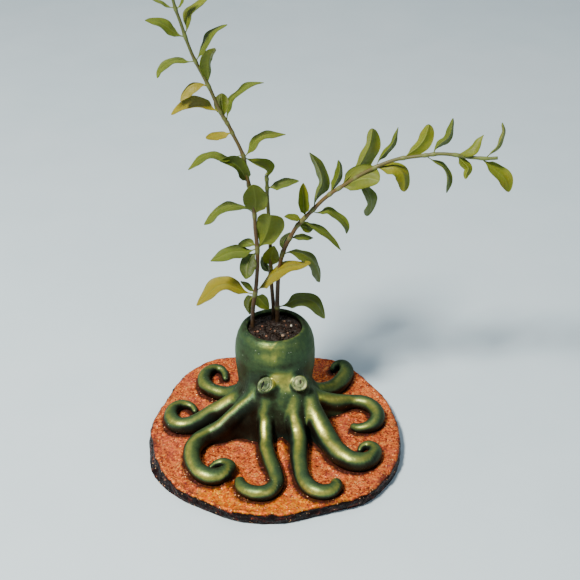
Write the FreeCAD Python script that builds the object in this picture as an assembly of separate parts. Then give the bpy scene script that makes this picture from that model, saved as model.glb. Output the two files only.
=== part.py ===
"""Octopus planter figurine.

A small moulded octopus sits on a rough round slab.  Its head is a hollow pot
that holds soil and three leafy stems; eight arms run down from the face and
curl on the slab.  Millimetres, +Z up, the face looks along -Y.  The origin is
the middle of the slab's flat underside.
"""
import FreeCAD, Part
import math
import os

V = FreeCAD.Vector

# ---------------------------------------------------------------- dimensions
SLAB_T = 6.5              # slab thickness; the arms lie on z = SLAB_T
SLAB_STEP_DEG = 12.0      # the slab's outline is given every 12 degrees
SLAB_FOOT_R = [60.3, 60.3, 62.0, 61.7, 60.6, 59.7, 60.2, 60.7, 60.1, 58.9,
               59.9, 63.1, 63.1, 63.1, 62.0, 61.3, 60.9, 61.3, 61.7, 63.9,
               65.9, 64.0, 63.1, 63.4, 64.5, 66.8, 65.5, 62.0, 59.2, 59.2]
SLAB_TOP_R = [59.2, 58.6, 59.4, 61.0, 61.4, 60.6, 62.2, 61.8, 61.6, 60.4,
              61.7, 64.4, 63.8, 63.2, 61.6, 60.8, 60.4, 60.8, 61.2, 63.4,
              65.4, 63.4, 62.5, 62.8, 64.0, 66.3, 65.0, 61.5, 58.7, 58.7]

POT_X, POT_Y = 0.7, 19.0  # the head's own axis
POT_BORE_R = 13.0         # mouth and cavity
POT_FLOOR_Z = 16.0        # inside floor of the cavity
POT_RIM_Z = 53.5
POT_WALL = [(13.0, 53.0), (13.7, 53.5), (15.0, 53.2), (16.9, 51.4),
            (18.3, 48.2), (19.2, 44.5), (19.5, 40.0), (19.3, 34.0),
            (18.8, 28.0), (17.8, 22.0), (16.7, 16.0), (16.0, 10.0),
            (15.8, SLAB_T)]          # outer profile, radius and height

ROOT_R = 12.7             # soil ball, 0.3 clear of the cavity wall
ROOT_FLOOR_R = 10.0       # flat bottom, the edge above it is rounded
SOIL_BACK_Z = 51.6        # soil level under the stems and behind them
SOIL_FRONT_Z = 47.6       # soil level at the front of the mouth

EYE_H = 1.1               # eye discs: thickness, then centre, facing and radius
EYE_L = (-3.9, -3.0, 34.4)
EYE_L_DIR = (-0.50, -0.34, 0.80)
EYE_L_R = 4.1
EYE_R_POS = (12.5, -2.7, 35.0)
EYE_R_DIR = (0.05, -0.74, 0.66)
EYE_R_R = 3.55
TURRET_WALL = 0.35        # the knobs that carry the eyes are this much wider
TURRET_L = 9.0
PUPIL_DEPTH = 0.6

LEAF_T = 0.5              # leaf blade thickness
LEAF_STATIONS = 7
PETIOLE_HALF = 0.45       # half width of a leaf's stalk
FRONT = V(0.0, 0.8508, -0.5255)   # leaf blades are laid out across this line

# Arm centrelines from the head to the tip: x, y, z and the arm's radius.
ARMS = {
    "arm_back_left": [(-9.0, 16.0, 17.5, 3.6), (-13.7, 18.0, 15.6, 4.1), (-18.8, 20.2, 12.6, 4.0), (-24.0, 22.6, 10.2, 3.8), (-30.0, 25.6, 9.7, 3.7), (-34.0, 29.6, 9.6, 3.6), (-35.7, 35.0, 9.5, 3.4), (-35.2, 40.6, 9.2, 3.1), (-33.2, 44.7, 8.9, 2.7), (-30.3, 46.6, 8.6, 2.3), (-27.4, 45.8, 8.3, 2.0), (-25.4, 42.6, 8.1, 1.8), (-24.8, 38.6, 7.9, 1.6)],
    "arm_left": [(-9.6, 9.8, 20.4, 4.2), (-14.3, 8.0, 18.8, 5.1), (-18.6, 7.7, 15.6, 5.6), (-23.8, 6.2, 12.6, 5.5), (-29.2, 4.2, 11.2, 5.1), (-34.6, 0.3, 10.5, 4.6), (-39.6, -2.5, 10.2, 4.2), (-44.6, -2.9, 10.0, 3.9), (-48.3, 0.4, 9.7, 3.7), (-50.1, 6.3, 9.4, 3.4), (-49.4, 11.4, 9.1, 3.0), (-46.9, 14.7, 8.8, 2.6), (-43.6, 15.7, 8.5, 2.2), (-40.4, 14.6, 8.2, 1.9), (-38.6, 11.2, 8.0, 1.6)],
    "arm_front_left": [(-6.0, 2.8, 26.0, 3.2), (-10.1, -1.5, 24.6, 3.4), (-14.3, -3.2, 21.5, 3.7), (-19.6, -5.5, 17.0, 3.9), (-24.5, -8.3, 13.5, 4.0), (-30.1, -9.8, 10.4, 4.1), (-34.8, -14.3, 10.2, 4.1), (-37.4, -19.8, 10.2, 4.1), (-37.5, -26.3, 10.2, 4.1), (-35.7, -33.0, 10.2, 4.1), (-32.0, -38.0, 10.2, 4.1), (-27.4, -40.0, 10.1, 4.0), (-22.6, -38.7, 9.9, 3.8), (-19.8, -34.2, 9.4, 3.3), (-20.2, -30.4, 8.9, 2.8), (-22.7, -28.3, 8.5, 2.3), (-26.0, -28.8, 8.2, 1.8), (-28.6, -31.2, 7.9, 1.2)],
    "arm_centre_left": [(-3.8, -2.4, 28.0, 3.3), (-2.9, -4.9, 24.0, 3.3), (-3.1, -7.1, 18.0, 3.5), (-3.5, -12.3, 12.9, 3.7), (-3.3, -18.3, 10.2, 3.8), (-1.9, -26.9, 10.0, 3.8), (0.6, -35.0, 9.9, 3.7), (1.8, -42.2, 9.8, 3.6), (-0.1, -48.0, 9.7, 3.6), (-4.8, -51.0, 9.8, 3.6), (-10.0, -49.8, 9.6, 3.4), (-13.7, -45.9, 9.2, 3.0), (-14.7, -42.4, 8.8, 2.6)],
    "arm_centre_right": [(9.8, -0.8, 28.8, 3.3), (10.2, -4.3, 24.0, 3.7), (10.4, -8.0, 18.0, 4.2), (11.4, -12.3, 13.0, 4.4), (12.0, -20.3, 10.6, 4.3), (12.3, -30.9, 10.0, 3.9), (13.4, -39.2, 9.8, 3.6), (16.5, -46.2, 9.8, 3.6), (21.4, -49.8, 9.7, 3.5), (26.0, -49.0, 9.4, 3.2), (28.7, -46.0, 9.1, 2.9), (29.0, -43.4, 8.8, 2.6)],
    "arm_front_right": [(11.5, 5.5, 27.5, 3.6), (16.6, 0.8, 25.0, 4.0), (18.4, -2.6, 20.5, 4.6), (21.3, -7.8, 15.9, 5.0), (25.0, -13.9, 12.5, 5.1), (28.7, -21.6, 11.2, 5.0), (32.5, -26.7, 10.9, 4.8), (36.5, -29.7, 10.6, 4.6), (40.9, -30.1, 10.3, 4.3), (45.0, -27.6, 9.9, 3.8), (47.6, -22.8, 9.4, 3.2), (47.6, -18.2, 8.9, 2.7), (45.2, -15.6, 8.5, 2.2), (42.4, -16.2, 8.2, 1.8), (40.9, -18.6, 7.9, 1.4)],
    "arm_right": [(13.0, 9.0, 21.5, 3.9), (18.6, 7.5, 20.0, 4.2), (23.5, 10.0, 16.3, 4.0), (31.0, 13.0, 12.5, 3.8), (37.7, 16.6, 9.9, 3.5), (43.2, 16.4, 9.7, 3.5), (47.4, 13.9, 9.7, 3.6), (50.0, 9.4, 9.7, 3.6), (50.4, 4.2, 9.7, 3.6), (48.6, -0.4, 9.5, 3.3), (45.0, -2.8, 9.1, 2.8), (41.3, -3.0, 8.7, 2.4), (38.7, -1.6, 8.4, 2.0)],
    "arm_back_right": [(13.0, 14.0, 18.0, 3.7), (18.8, 18.0, 15.6, 4.0), (23.7, 22.0, 12.6, 4.2), (28.3, 26.6, 10.2, 4.3), (32.3, 30.8, 10.1, 4.2), (35.4, 36.4, 10.0, 4.0), (37.0, 42.6, 9.7, 3.6), (36.0, 47.8, 9.2, 3.0), (33.4, 49.8, 8.7, 2.5), (31.2, 48.6, 8.4, 2.1), (30.4, 46.4, 8.1, 1.7)],
}

# Horizontal sections of the skirt below the head: height, then the outline
# as x, y points (the face's side is -Y).
WEB = [
    (SLAB_T, [(3.4, -11.2), (-6.0, -12.0), (-14.0, -9.0), (-21.0, -2.0), (-20.0, 9.0), (-17.5, 19.0), (-12.0, 31.0), (0.7, 36.0), (13.0, 32.0), (19.0, 21.0), (22.5, 10.0), (22.0, -1.0), (16.0, -9.5), (9.0, -11.8)]),
    (12.0, [(4.0, -9.9), (-5.0, -9.8), (-12.5, -7.0), (-18.0, -0.5), (-18.0, 9.0), (-16.5, 19.0), (-11.0, 30.5), (0.7, 35.2), (12.5, 31.0), (18.0, 20.5), (20.5, 10.0), (20.0, 0.5), (15.0, -7.5), (9.0, -9.8)]),
    (20.0, [(4.2, -7.5), (-3.4, -7.2), (-10.0, -5.0), (-14.8, 1.0), (-16.0, 9.5), (-15.0, 19.5), (-10.0, 29.0), (0.7, 33.5), (11.0, 30.0), (16.0, 20.0), (17.8, 10.0), (17.6, 2.0), (13.8, -4.6), (9.2, -7.0)]),
    (29.5, [(4.6, -4.8), (-0.4, -4.5), (-6.4, -2.6), (-11.0, 2.0), (-13.6, 9.5), (-13.1, 19.5), (-8.7, 27.0), (0.7, 30.6), (9.7, 27.6), (13.6, 20.0), (15.2, 10.0), (15.0, 2.8), (12.6, -2.2), (9.2, -4.5)]),
    (35.5, [(4.6, -1.3), (0.2, -0.9), (-3.6, 0.6), (-7.5, 4.0), (-10.0, 10.5), (-10.0, 19.5), (-7.0, 25.0), (0.7, 28.0), (8.0, 26.0), (11.0, 20.0), (12.8, 10.5), (13.2, 4.0), (11.8, 0.6), (9.0, -1.0)]),
    (38.5, [(4.6, 0.9), (0.6, 1.3), (-2.8, 2.8), (-6.2, 6.0), (-9.0, 11.5), (-9.2, 19.5), (-6.4, 24.6), (0.7, 27.4), (7.4, 25.4), (10.3, 20.0), (11.9, 11.5), (12.0, 6.0), (10.8, 2.8), (8.6, 1.2)]),
]

# Grains of pumice on the soil: x, y and the grain's radius.
GRIT = [(4.6, 13.8, 0.8), (-3.2, 13.6, 0.6), (7.0, 15.4, 0.55), (-7.4, 16.2, 0.6),
        (0.9, 16.6, 0.5), (8.6, 20.6, 0.6), (-5.2, 20.0, 0.5), (5.4, 24.8, 0.55)]

# Stems: radius at the soil, radius at the top, centreline.
# Leaves: name, group, stem, midrib, half widths left and right of the midrib,
# the two halves' fold angles, where the blade is widest, how blunt it is, tint.
STEMS = {
    'tall': (1, 0.62, [(-9.9, 20.6, 51.3), (-9.7, 20.5, 58.3), (-9.2, 20.2, 65.2), (-8.1, 19.9, 72.6), (-7.4, 19.5,
        80.5), (-7, 19.1, 88.3), (-7, 18.6, 96.5), (-7.7, 18, 105.7), (-8, 17.5, 114.2), (-9.1, 16.9, 122.5),
        (-10.2, 16.4, 129.2), (-11.1, 15.8, 136.4), (-12.2, 15.3, 143.4), (-14.2, 14.7, 149.3), (-16.3, 14.2,
        154.2), (-18.3, 13.8, 159.1), (-21.5, 13.1, 165.4), (-25.3, 12, 175.9), (-28.1, 11.3, 182.5), (-31.5, 10.4,
        190.4), (-34.1, 9.4, 198.5), (-36.1, 8.5, 206.3), (-37.7, 7.8, 211.9), (-38.8, 7.1, 217.4), (-39.7, 6.5,
        222.5), (-40.2, 6, 226.6)]),
    'mid': (1, 0.8, [(0, 27.6, 51.3), (0, 27.3, 58.9), (-0.5, 26.9, 67.1), (-0.9, 26.4, 74.1), (-1.1, 25.8, 82.1),
        (-1.1, 25.1, 91.2), (-1.4, 24.2, 101.3), (-1.8, 23.1, 111.7), (-2.2, 22.2, 120.8), (-2.3, 21.3, 128.8),
        (-2.5, 21, 131.4)]),
    'right': (1.05, 0.72, [(2, 25, 51.3), (1.9, 24.7, 60.1), (2.1, 24.3, 68.8), (2.5, 23.8, 76.8), (3.3, 23.3,
        84.2), (4.8, 22.8, 91.5), (7.8, 22.2, 98.9), (10.6, 21.6, 104.8), (12.6, 21.3, 107.7), (15.4, 20.9, 111.2),
        (18.6, 20.4, 115.1), (22.5, 19.8, 119.9), (26.4, 19.2, 123.8), (30.2, 18.7, 126.8), (35, 18, 130.6), (39.7,
        17.3, 134.2), (44.5, 16.6, 137.3), (49.7, 15.9, 140.2), (54.9, 15.1, 142.5), (60.5, 14.4, 143.8), (66.5,
        13.5, 145), (72.6, 12.7, 146.1), (79.1, 11.7, 146.1), (84.2, 11, 145.4), (88.6, 10.3, 145.3), (92.5, 9.7,
        145.3), (97.2, 9, 145.9)]),
}
LEAVES = [
    ('t1', 'tall_01', 'tall', [(-37.7, 7.8, 212.2), (-41, 8.2, 212.8), (-43, 8.7, 214), (-46.3, 9.8, 215), (-48.7,
        10.8, 216)], 2.84, 2.84, -68, 68, 1, 1, 'g'),
    ('t2', 'tall_01', 'tall', [(-37.7, 7.8, 211.9), (-36.3, 7.7, 212.9), (-35.2, 7.4, 215.1), (-34.5, 6.8, 218),
        (-33.8, 5.8, 221.6)], 2.59, 2.59, 63, -63, 1, 1, 'g'),
    ('t3', 'tall_02', 'tall', [(-34.4, 9.3, 199.8), (-37.2, 9.1, 200.6), (-39.5, 8.7, 202.3), (-42, 8.2, 204.7),
        (-44.8, 7.6, 206.4), (-47.7, 6.9, 207.2), (-50, 6.3, 207.7)], 4.26, 4.26, -55, 43, 1.15, 0.75, 'g'),
    ('t4', 'tall_02', 'tall', [(-34.6, 9.2, 200.7), (-33.6, 9.4, 203.6), (-33.3, 9.7, 206.6), (-32.5, 10, 209.5),
        (-30.2, 10.5, 211.5), (-28, 11, 213), (-26.1, 11.5, 214.4), (-23.7, 12.2, 215.7)], 4.76, 4.76, 58, -60, 1.1,
        0.8, 'o'),
    ('t5', 'tall_03', 'tall', [(-30.8, 10.5, 188.9), (-29, 10.8, 191.9), (-27.1, 11.2, 195.9), (-25.3, 11.7,
        199.4), (-22.8, 12.3, 201.6), (-20.2, 12.9, 202.7), (-17.5, 13.5, 203.5)], 4.95, 4.95, 59, -60, 1.05, 0.75,
        'g'),
    ('t7', 'tall_03', 'tall', [(-30.9, 10.5, 189.1), (-33.8, 10.3, 188.8), (-36.5, 10, 189.3), (-39.7, 9.6,
        189.4), (-42.8, 9, 188), (-45.5, 8.3, 185.6), (-46.7, 7.5, 182.9)], 4.48, 4.48, -61, 61, 1.5, 0.6, 'g'),
    ('t6', 'tall_04', 'tall', [(-26.4, 11.7, 178.6), (-25.6, 11.2, 183), (-25.5, 10.3, 187.4), (-24.9, 9.4, 191),
        (-22.8, 7.7, 195.6)], 4.24, 4.24, -34, 76, 1.15, 0.6, 'l'),
    ('t8', 'tall_04', 'tall', [(-25.9, 11.9, 177.4), (-28.8, 11.5, 178.6), (-31.6, 10.9, 178.8), (-34.3, 10.2,
        177.7), (-36.3, 9.1, 175.2), (-37.7, 7.9, 172.5)], 3.71, 3.71, -18, 63, 1.2, 0.8, 'y'),
    ('t9', 'tall_05', 'tall', [(-21.5, 13.1, 165.6), (-24.9, 13.2, 166.6), (-28.5, 13.5, 168.3), (-32.6, 13.8,
        168.8), (-37.2, 14.3, 167.3), (-42.6, 15.1, 163.4)], 5.45, 5.45, -61, 43, 1.1, 0.7, 'y'),
    ('t10', 'tall_05', 'tall', [(-18.8, 13.7, 160.2), (-18.7, 13.7, 163.2), (-18.1, 13.9, 167.4), (-16.7, 14.1,
        170.9), (-13.7, 14.4, 173.9), (-10.2, 14.8, 176.6), (-6.6, 15.2, 177.6), (-3, 15.7, 177.5)], 6.38, 6.38, 73,
        -72, 1.3, 0.7, 'g'),
    ('t11', 'tall_05', 'tall', [(-20, 13.4, 162.5), (-20.5, 14.5, 165.7), (-20.9, 16.3, 168.4), (-21, 19.4,
        171.3)], 3.5, 3.28, 12, 17, 1.3, 0.5, 'o'),
    ('t12', 'tall_06', 'tall', [(-16.8, 14.1, 155.6), (-20, 13.5, 154.7), (-23.2, 12.4, 154.6), (-27.8, 10.1,
        154.6)], 2.8, 2.8, -43, 45, 1.3, 0.5, 'y'),
    ('t13', 'tall_07', 'tall', [(-12.5, 15.2, 144.4), (-16.2, 15, 143.4), (-19.1, 14.8, 142.9), (-22, 14.5,
        143.9), (-25.3, 14.2, 145), (-28.2, 13.8, 144.9), (-31.6, 13.2, 143), (-36.3, 12.2, 138.7)], 6.27, 6.27, -71,
        70, 1.35, 0.7, 'g'),
    ('t15', 'tall_07', 'tall', [(-12.1, 15.3, 142.8), (-10.2, 15.5, 145.4), (-8.3, 15.8, 148.5), (-6, 16.2,
        151.5), (-2.7, 16.7, 153.1), (1.1, 17.3, 153.2), (6.1, 18.3, 152.7)], 5.48, 5.48, 66, -67, 1, 0.75, 'g'),
    ('t14', 'tall_06', 'tall', [(-10.2, 16.4, 129.3), (-11.8, 15.8, 133.6), (-14.2, 14.8, 138.4), (-17.4, 13.5,
        141.5), (-22.3, 11.4, 143.2)], 4.77, 4.77, -63, -50, 1.2, 0.65, 'd'),
    ('m16', 'mid_01', 'mid', [(-2.4, 21.2, 129.8), (-1.3, 20.8, 133.6), (-2.1, 20.4, 136.1), (-5.4, 19.5, 138.2),
        (-8.8, 18.4, 139.9), (-11.6, 17.2, 142)], 4.31, 4.31, -64, 45, 0.7, 1.3, 'l'),
    ('m17', 'mid_01', 'mid', [(-2.3, 21.7, 125), (0.4, 21.9, 125.8), (3.8, 22.3, 127.3), (7.7, 22.9, 128.1), (12,
        23.7, 127.6)], 3.53, 3.53, 53, -45, 0.9, 0.7, 'g'),
    ('t18', 'tall_08', 'tall', [(-7.9, 17.6, 112.9), (-7.3, 16.4, 118.4), (-7.4, 14.7, 123.6), (-8.2, 10.6,
        132.4)], 5.62, 5.62, -17, -13, 1.2, 0.5, 'o'),
    ('t19', 'tall_08', 'tall', [(-8, 17.5, 114.4), (-11.5, 17.5, 117.2), (-15.3, 17.5, 118.1), (-19.6, 17.5,
        118.5), (-23.8, 17.5, 116.5), (-27.5, 17.5, 112.7), (-30.8, 17.5, 108.8)], 6.5, 6.5, -66, 64, 1.35, 0.75,
        'g'),
    ('t20', 'tall_09', 'tall', [(-7, 18.7, 95.3), (-5, 17.9, 98.9), (-3, 16.3, 103.7), (-1.4, 13.6, 110.1), (-0.3,
        9.7, 117.8)], 6.14, 6.74, 13, 19, 1.75, 0.36, 'o'),
    ('t21', 'tall_09', 'tall', [(-7, 18.7, 95.6), (-11, 18.3, 94.4), (-14.4, 17.9, 94.5), (-18.3, 17.3, 94.5),
        (-22.2, 16.4, 93.5), (-25.7, 15.5, 92.1), (-28.3, 14.7, 91.3)], 5.27, 5.27, -56, 51, 1.05, 0.8, 'g'),
    ('t22', 'tall_09', 'tall', [(-7, 18.6, 96.8), (-9.5, 19.4, 97.8), (-12.1, 20.8, 97.7), (-15.8, 23.6, 95.4)],
        2.56, 2.56, -35, 34, 1, 0.8, 'g'),
    ('t23', 'tall_09', 'tall', [(-7, 18.8, 94), (-10.2, 17.2, 91.3), (-11.6, 15, 88.6), (-11.9, 12.2, 86.1),
        (-12.1, 9.8, 84.7)], 4.25, 3.54, -12, -17, 1.1, 0.6, 'd'),
    ('t24', 'tall_10', 'tall', [(-8.3, 19.9, 71.3), (-11.1, 20.9, 73.1), (-12.9, 22.2, 74.4), (-15.2, 23.9,
        74.9)], 2.11, 2.11, -50, 50, 1, 0.8, 'g'),
    ('t25', 'tall_10', 'tall', [(-8.5, 20, 70.1), (-13, 19.8, 71.5), (-17.4, 19.5, 74.1), (-21.9, 19.1, 76.1),
        (-26.4, 18.7, 74.9), (-31, 17.9, 70.6), (-35.9, 17, 65.9)], 7.67, 7.67, -66, 61, 1.25, 0.7, 'y'),
    ('t26', 'tall_10', 'tall', [(-8.3, 19.9, 71.4), (-4.4, 19.4, 75.9), (-0.3, 18.5, 81.2), (3.7, 17.4, 85), (8.6,
        16, 87.8), (13.1, 14.6, 89.2), (17.4, 12.9, 91.2)], 8.01, 8.01, 66, -64, 1.15, 0.65, 'y'),
    ('t29', 'tall_10', 'tall', [(-8.5, 20, 69.8), (-10.9, 20.8, 66.3), (-11.6, 22.1, 61.7), (-11.3, 24, 56.4)],
        3.47, 3.47, 20, 44, 0.95, 0.7, 'l'),
    ('t30', 'tall_10', 'tall', [(-8.5, 20, 70), (-6, 20.6, 66.9), (-4, 21.6, 63.5), (-2.1, 23, 60.1)], 3.22, 3.51,
        16, 12, 1, 0.65, 'l'),
    ('m30', 'mid_02', 'mid', [(-1.1, 25.9, 81.1), (-0.8, 25.2, 84.6), (-0.5, 23.9, 89), (0.7, 20.9, 95.8)], 4.31,
        3.83, -17, -13, 1, 0.7, 'o'),
    ('m31', 'mid_02', 'mid', [(-1, 26.1, 77.8), (-3.5, 27.3, 80.3), (-4.8, 29, 82.4), (-5.3, 31.1, 84.3)], 2.26,
        2.26, 48, 42, 1, 0.8, 'd'),
    ('r27', 'right_01', 'right', [(4.5, 22.9, 89.8), (7.7, 23.1, 91.3), (11.6, 23.4, 90.7), (15.9, 23.8, 88.4),
        (19.2, 24.4, 84.6), (21.3, 25.1, 79.2), (22.1, 25.9, 73.4)], 6.86, 6.86, 66, -63, 1.05, 0.7, 'g'),
    ('r28', 'right_01', 'right', [(1.9, 24.7, 60), (6.6, 24.4, 61.7), (11.2, 24.1, 64.7), (15.8, 23.6, 65), (19.9,
        23, 63.2), (22.4, 22.5, 60), (24.6, 21.7, 55.6)], 6.75, 6.75, 60, -63, 1.25, 0.65, 'g'),
    ('r19', 'right_02', 'right', [(8, 22.1, 99.3), (11.3, 22.8, 99.3), (14.8, 24.1, 98.8), (18.6, 26.1, 97.1)],
        2.77, 2.77, 52, -58, 1, 0.8, 'g'),
    ('r21', 'right_02', 'right', [(4.8, 22.8, 91.5), (4.9, 24.1, 95), (6, 25.8, 97.1), (8.2, 28.8, 98.5)], 2.5,
        2.5, 33, 51, 1, 0.8, 'd'),
    ('r17', 'right_03', 'right', [(13.5, 21.2, 108.8), (17.4, 20.8, 106.7), (21.3, 20.2, 104.6), (24.7, 19.5,
        102.5), (28.2, 18.4, 99.1), (31.3, 17.2, 95.6)], 5.35, 5.35, 68, -67, 0.85, 0.8, 'g'),
    ('r18', 'right_03', 'right', [(13.5, 21.2, 108.8), (11.4, 20.7, 110.4), (8.5, 19.7, 111.4), (5.5, 18.2,
        112.4)], 2.21, 2.21, -46, 41, 1, 0.7, 'o'),
    ('r20', 'right_03', 'right', [(11.7, 21.4, 106.4), (13.8, 22.3, 105.4), (16.3, 23.9, 104), (18.8, 26.4,
        101.9)], 2.36, 2.83, 10, -11, 1, 0.8, 'o'),
    ('r1', 'right_04', 'right', [(15, 21, 110.6), (14.3, 20.6, 114.9), (14, 20, 119.4), (13.8, 19.2, 124), (13.9,
        18, 129.5)], 4.51, 4.51, -54, -54, 1.35, 0.42, 'l'),
    ('r2', 'right_04', 'right', [(18.7, 20.4, 115.2), (19.2, 20.6, 119.1), (20.4, 20.8, 123.2), (22.1, 21.2,
        127.2), (22, 21.6, 131.1), (20.3, 22.2, 135.8), (18.4, 22.8, 139.2), (16.6, 23.4, 141.6)], 6.7, 6.7, 72, 63,
        0.95, 0.75, 'g'),
    ('r16', 'right_04', 'right', [(18.2, 20.5, 114.6), (19.3, 20.4, 113.4), (22.2, 20.1, 113.5), (25.1, 19.7,
        114.4), (28.1, 19.1, 112.6), (31.4, 18.2, 110.2), (33.4, 17.3, 107.6), (33.7, 16.5, 104.7)], 5.12, 5.12, 64,
        -70, 1.35, 0.6, 'g'),
    ('r3', 'right_05', 'right', [(25.8, 19.3, 123.2), (27.4, 19.7, 127), (28.8, 20.2, 130), (29.8, 20.8, 132.9),
        (30, 21.5, 135.7), (29.4, 22.3, 138.5)], 3.87, 3.87, 56, 58, 0.95, 0.7, 'g'),
    ('r4', 'right_05', 'right', [(29.5, 18.8, 126.2), (33.5, 18, 128.8), (37.9, 16.5, 131.7), (42.2, 14.6, 133.3),
        (47.1, 11.8, 133.6)], 6.45, 4.91, 10, -17, 1.4, 0.48, 'o'),
    ('r5', 'right_05', 'right', [(30.1, 18.7, 126.7), (34.3, 19.2, 132.1), (38.3, 20, 136.9), (41, 21, 141.9),
        (43, 22, 146.7), (44, 23.7, 153.1)], 7.26, 7.26, 69, 47, 1.7, 0.5, 'l'),
    ('r6', 'right_05', 'right', [(36.9, 17.7, 132.1), (39.7, 18.2, 128.2), (42.3, 18.8, 124.7), (44.1, 19.6,
        120.6), (44.4, 20.5, 116.4), (43.8, 21.7, 111.3)], 5.48, 5.48, 58, -59, 1.55, 0.5, 'g'),
    ('r7', 'right_06', 'right', [(45.5, 16.5, 137.9), (47.1, 16.9, 141.5), (49.5, 17.6, 144.5), (52, 18.5, 147.2),
        (53.6, 19.6, 150.1), (55, 21.5, 154.7)], 4.77, 4.77, 79, 78, 1, 0.7, 'g'),
    ('r8', 'right_06', 'right', [(44.9, 16.6, 137.6), (49.6, 16, 137.8), (53.7, 15.3, 138.4), (57, 14.4, 136.5),
        (58.3, 13.2, 132.9), (58.1, 11.6, 128.4)], 5.08, 5.08, 46, -39, 1.35, 0.5, 'l'),
    ('r9', 'right_07', 'right', [(57.2, 14.8, 143), (60.3, 15.2, 145.6), (63.5, 15.9, 148.1), (66.2, 17, 151.7),
        (68, 18.8, 157.2)], 4.45, 4.45, 64, 23, 1.55, 0.48, 'l'),
    ('r10', 'right_07', 'right', [(69.9, 13, 145.6), (70.9, 13.3, 148.6), (73.1, 13.6, 150.9), (75.5, 14.1,
        152.7), (77, 14.7, 155.7), (77.7, 16, 161.2)], 4.35, 4.35, 67, 63, 1, 0.7, 'g'),
    ('r11', 'right_07', 'right', [(66.5, 13.5, 145), (70.6, 13.2, 142.2), (74.4, 12.8, 140.4), (76.6, 12.2,
        137.1), (77.4, 11.5, 132.8), (76.6, 10.5, 128.4)], 5.21, 5.21, 72, -72, 1.5, 0.6, 'g'),
    ('r12', 'right_08', 'right', [(79.2, 11.7, 146), (82.6, 12.2, 146.8), (85.6, 12.8, 147.8), (87.4, 13.5,
        149.7), (89, 14.5, 152), (91.3, 15.7, 153.6)], 3.66, 3.66, 78, -34, 0.95, 0.9, 'l'),
    ('r13', 'right_08', 'right', [(80, 11.6, 145.9), (82.7, 10.7, 143.2), (84.9, 9.3, 140.9), (84, 7.9, 138.7),
        (83.7, 6.6, 137.1)], 2.88, 2.88, 37, 60, 0.9, 0.6, 'l'),
    ('r14', 'right_09', 'right', [(91.9, 9.8, 145.3), (94.3, 10.2, 147.8), (96.7, 10.7, 150.3), (98.2, 11.5,
        153.2), (99.2, 12.5, 156.7), (98.5, 13.8, 160.2)], 4.22, 4.22, 81, 63, 1.35, 0.7, 'l'),
    ('r15', 'right_09', 'right', [(90.3, 10, 145.3), (93.8, 9.6, 142.2), (97.6, 8.8, 139.3), (101, 7.7, 136.2),
        (103, 6, 131.2)], 4.66, 4.66, 29, -49, 1.55, 0.55, 'l'),
]

# ------------------------------------------------------------------- helpers
os.makedirs("parts", exist_ok=True)
made = {}


def unit(v):
    return V(v).normalize()


def keep(name, shape):
    """Write one node's solids."""
    solids = [s for s in shape.Solids if s.Volume > 0.02]
    shape = solids[0] if len(solids) == 1 else Part.makeCompound(solids)
    shape.exportStep("parts/%s.step" % name)
    made[name] = shape
    b = shape.BoundBox
    print("%-22s solids %2d valid %s vol %9.1f  x %.1f..%.1f y %.1f..%.1f z %.1f..%.1f" % (
        name, len(solids), shape.isValid(), sum(s.Volume for s in solids),
        b.XMin, b.XMax, b.YMin, b.YMax, b.ZMin, b.ZMax))
    return shape


def biggest(shape):
    return max(shape.Solids, key=lambda s: s.Volume)


def catmull(points, n):
    """n points, evenly spread along a smooth curve through the given ones."""
    dim = len(points[0])
    d = [0.0]
    for a, b in zip(points[:-1], points[1:]):
        d.append(d[-1] + math.dist(a[:3], b[:3]))
    ext = ([tuple(2 * a - b for a, b in zip(points[0], points[1]))] + list(points)
           + [tuple(2 * a - b for a, b in zip(points[-1], points[-2]))])
    out = []
    for k in range(n):
        t = d[-1] * k / (n - 1.0)
        i = 0
        while i < len(points) - 2 and d[i + 1] < t:
            i += 1
        u = (t - d[i]) / (d[i + 1] - d[i])
        p = ext[i:i + 4]
        out.append(tuple(0.5 * (2 * p[1][j] + (p[2][j] - p[0][j]) * u
                                + (2 * p[0][j] - 5 * p[1][j] + 4 * p[2][j] - p[3][j]) * u * u
                                + (3 * p[1][j] - p[0][j] - 3 * p[2][j] + p[3][j]) * u ** 3)
                         for j in range(dim)))
    return out


def ring(centre, x, y, r, n=10):
    pts = [centre + x * (r * math.cos(2 * math.pi * i / n)) + y * (r * math.sin(2 * math.pi * i / n))
           for i in range(n)]
    curve = Part.BSplineCurve()
    curve.interpolate(pts, PeriodicFlag=True)
    return Part.Wire([curve.toShape()])


def tube(rows, n, round_tip=True, x0=None):
    """A solid limb with round sections along rows of (x, y, z, radius)."""
    rows = catmull(rows, n)
    pts = [V(*r[:3]) for r in rows]
    rad = [r[3] for r in rows]
    tans = []
    for i in range(n):
        a, b = pts[max(i - 1, 0)], pts[min(i + 1, n - 1)]
        tans.append(unit(b - a))
    if round_tip:
        end, t, r = pts[-1], tans[-1], rad[-1]
        for along, k in ((0.5, 0.86), (0.85, 0.52), (0.97, 0.22)):
            pts.append(end + t * (r * along))
            rad.append(r * k)
            tans.append(t)
    x = x0 or V(0, 0, 1)
    wires = []
    for p, t, r in zip(pts, tans, rad):
        x = unit(x - t * x.dot(t))
        wires.append(ring(p, x, t.cross(x), r))
    return Part.makeLoft(wires, True, False)


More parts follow.
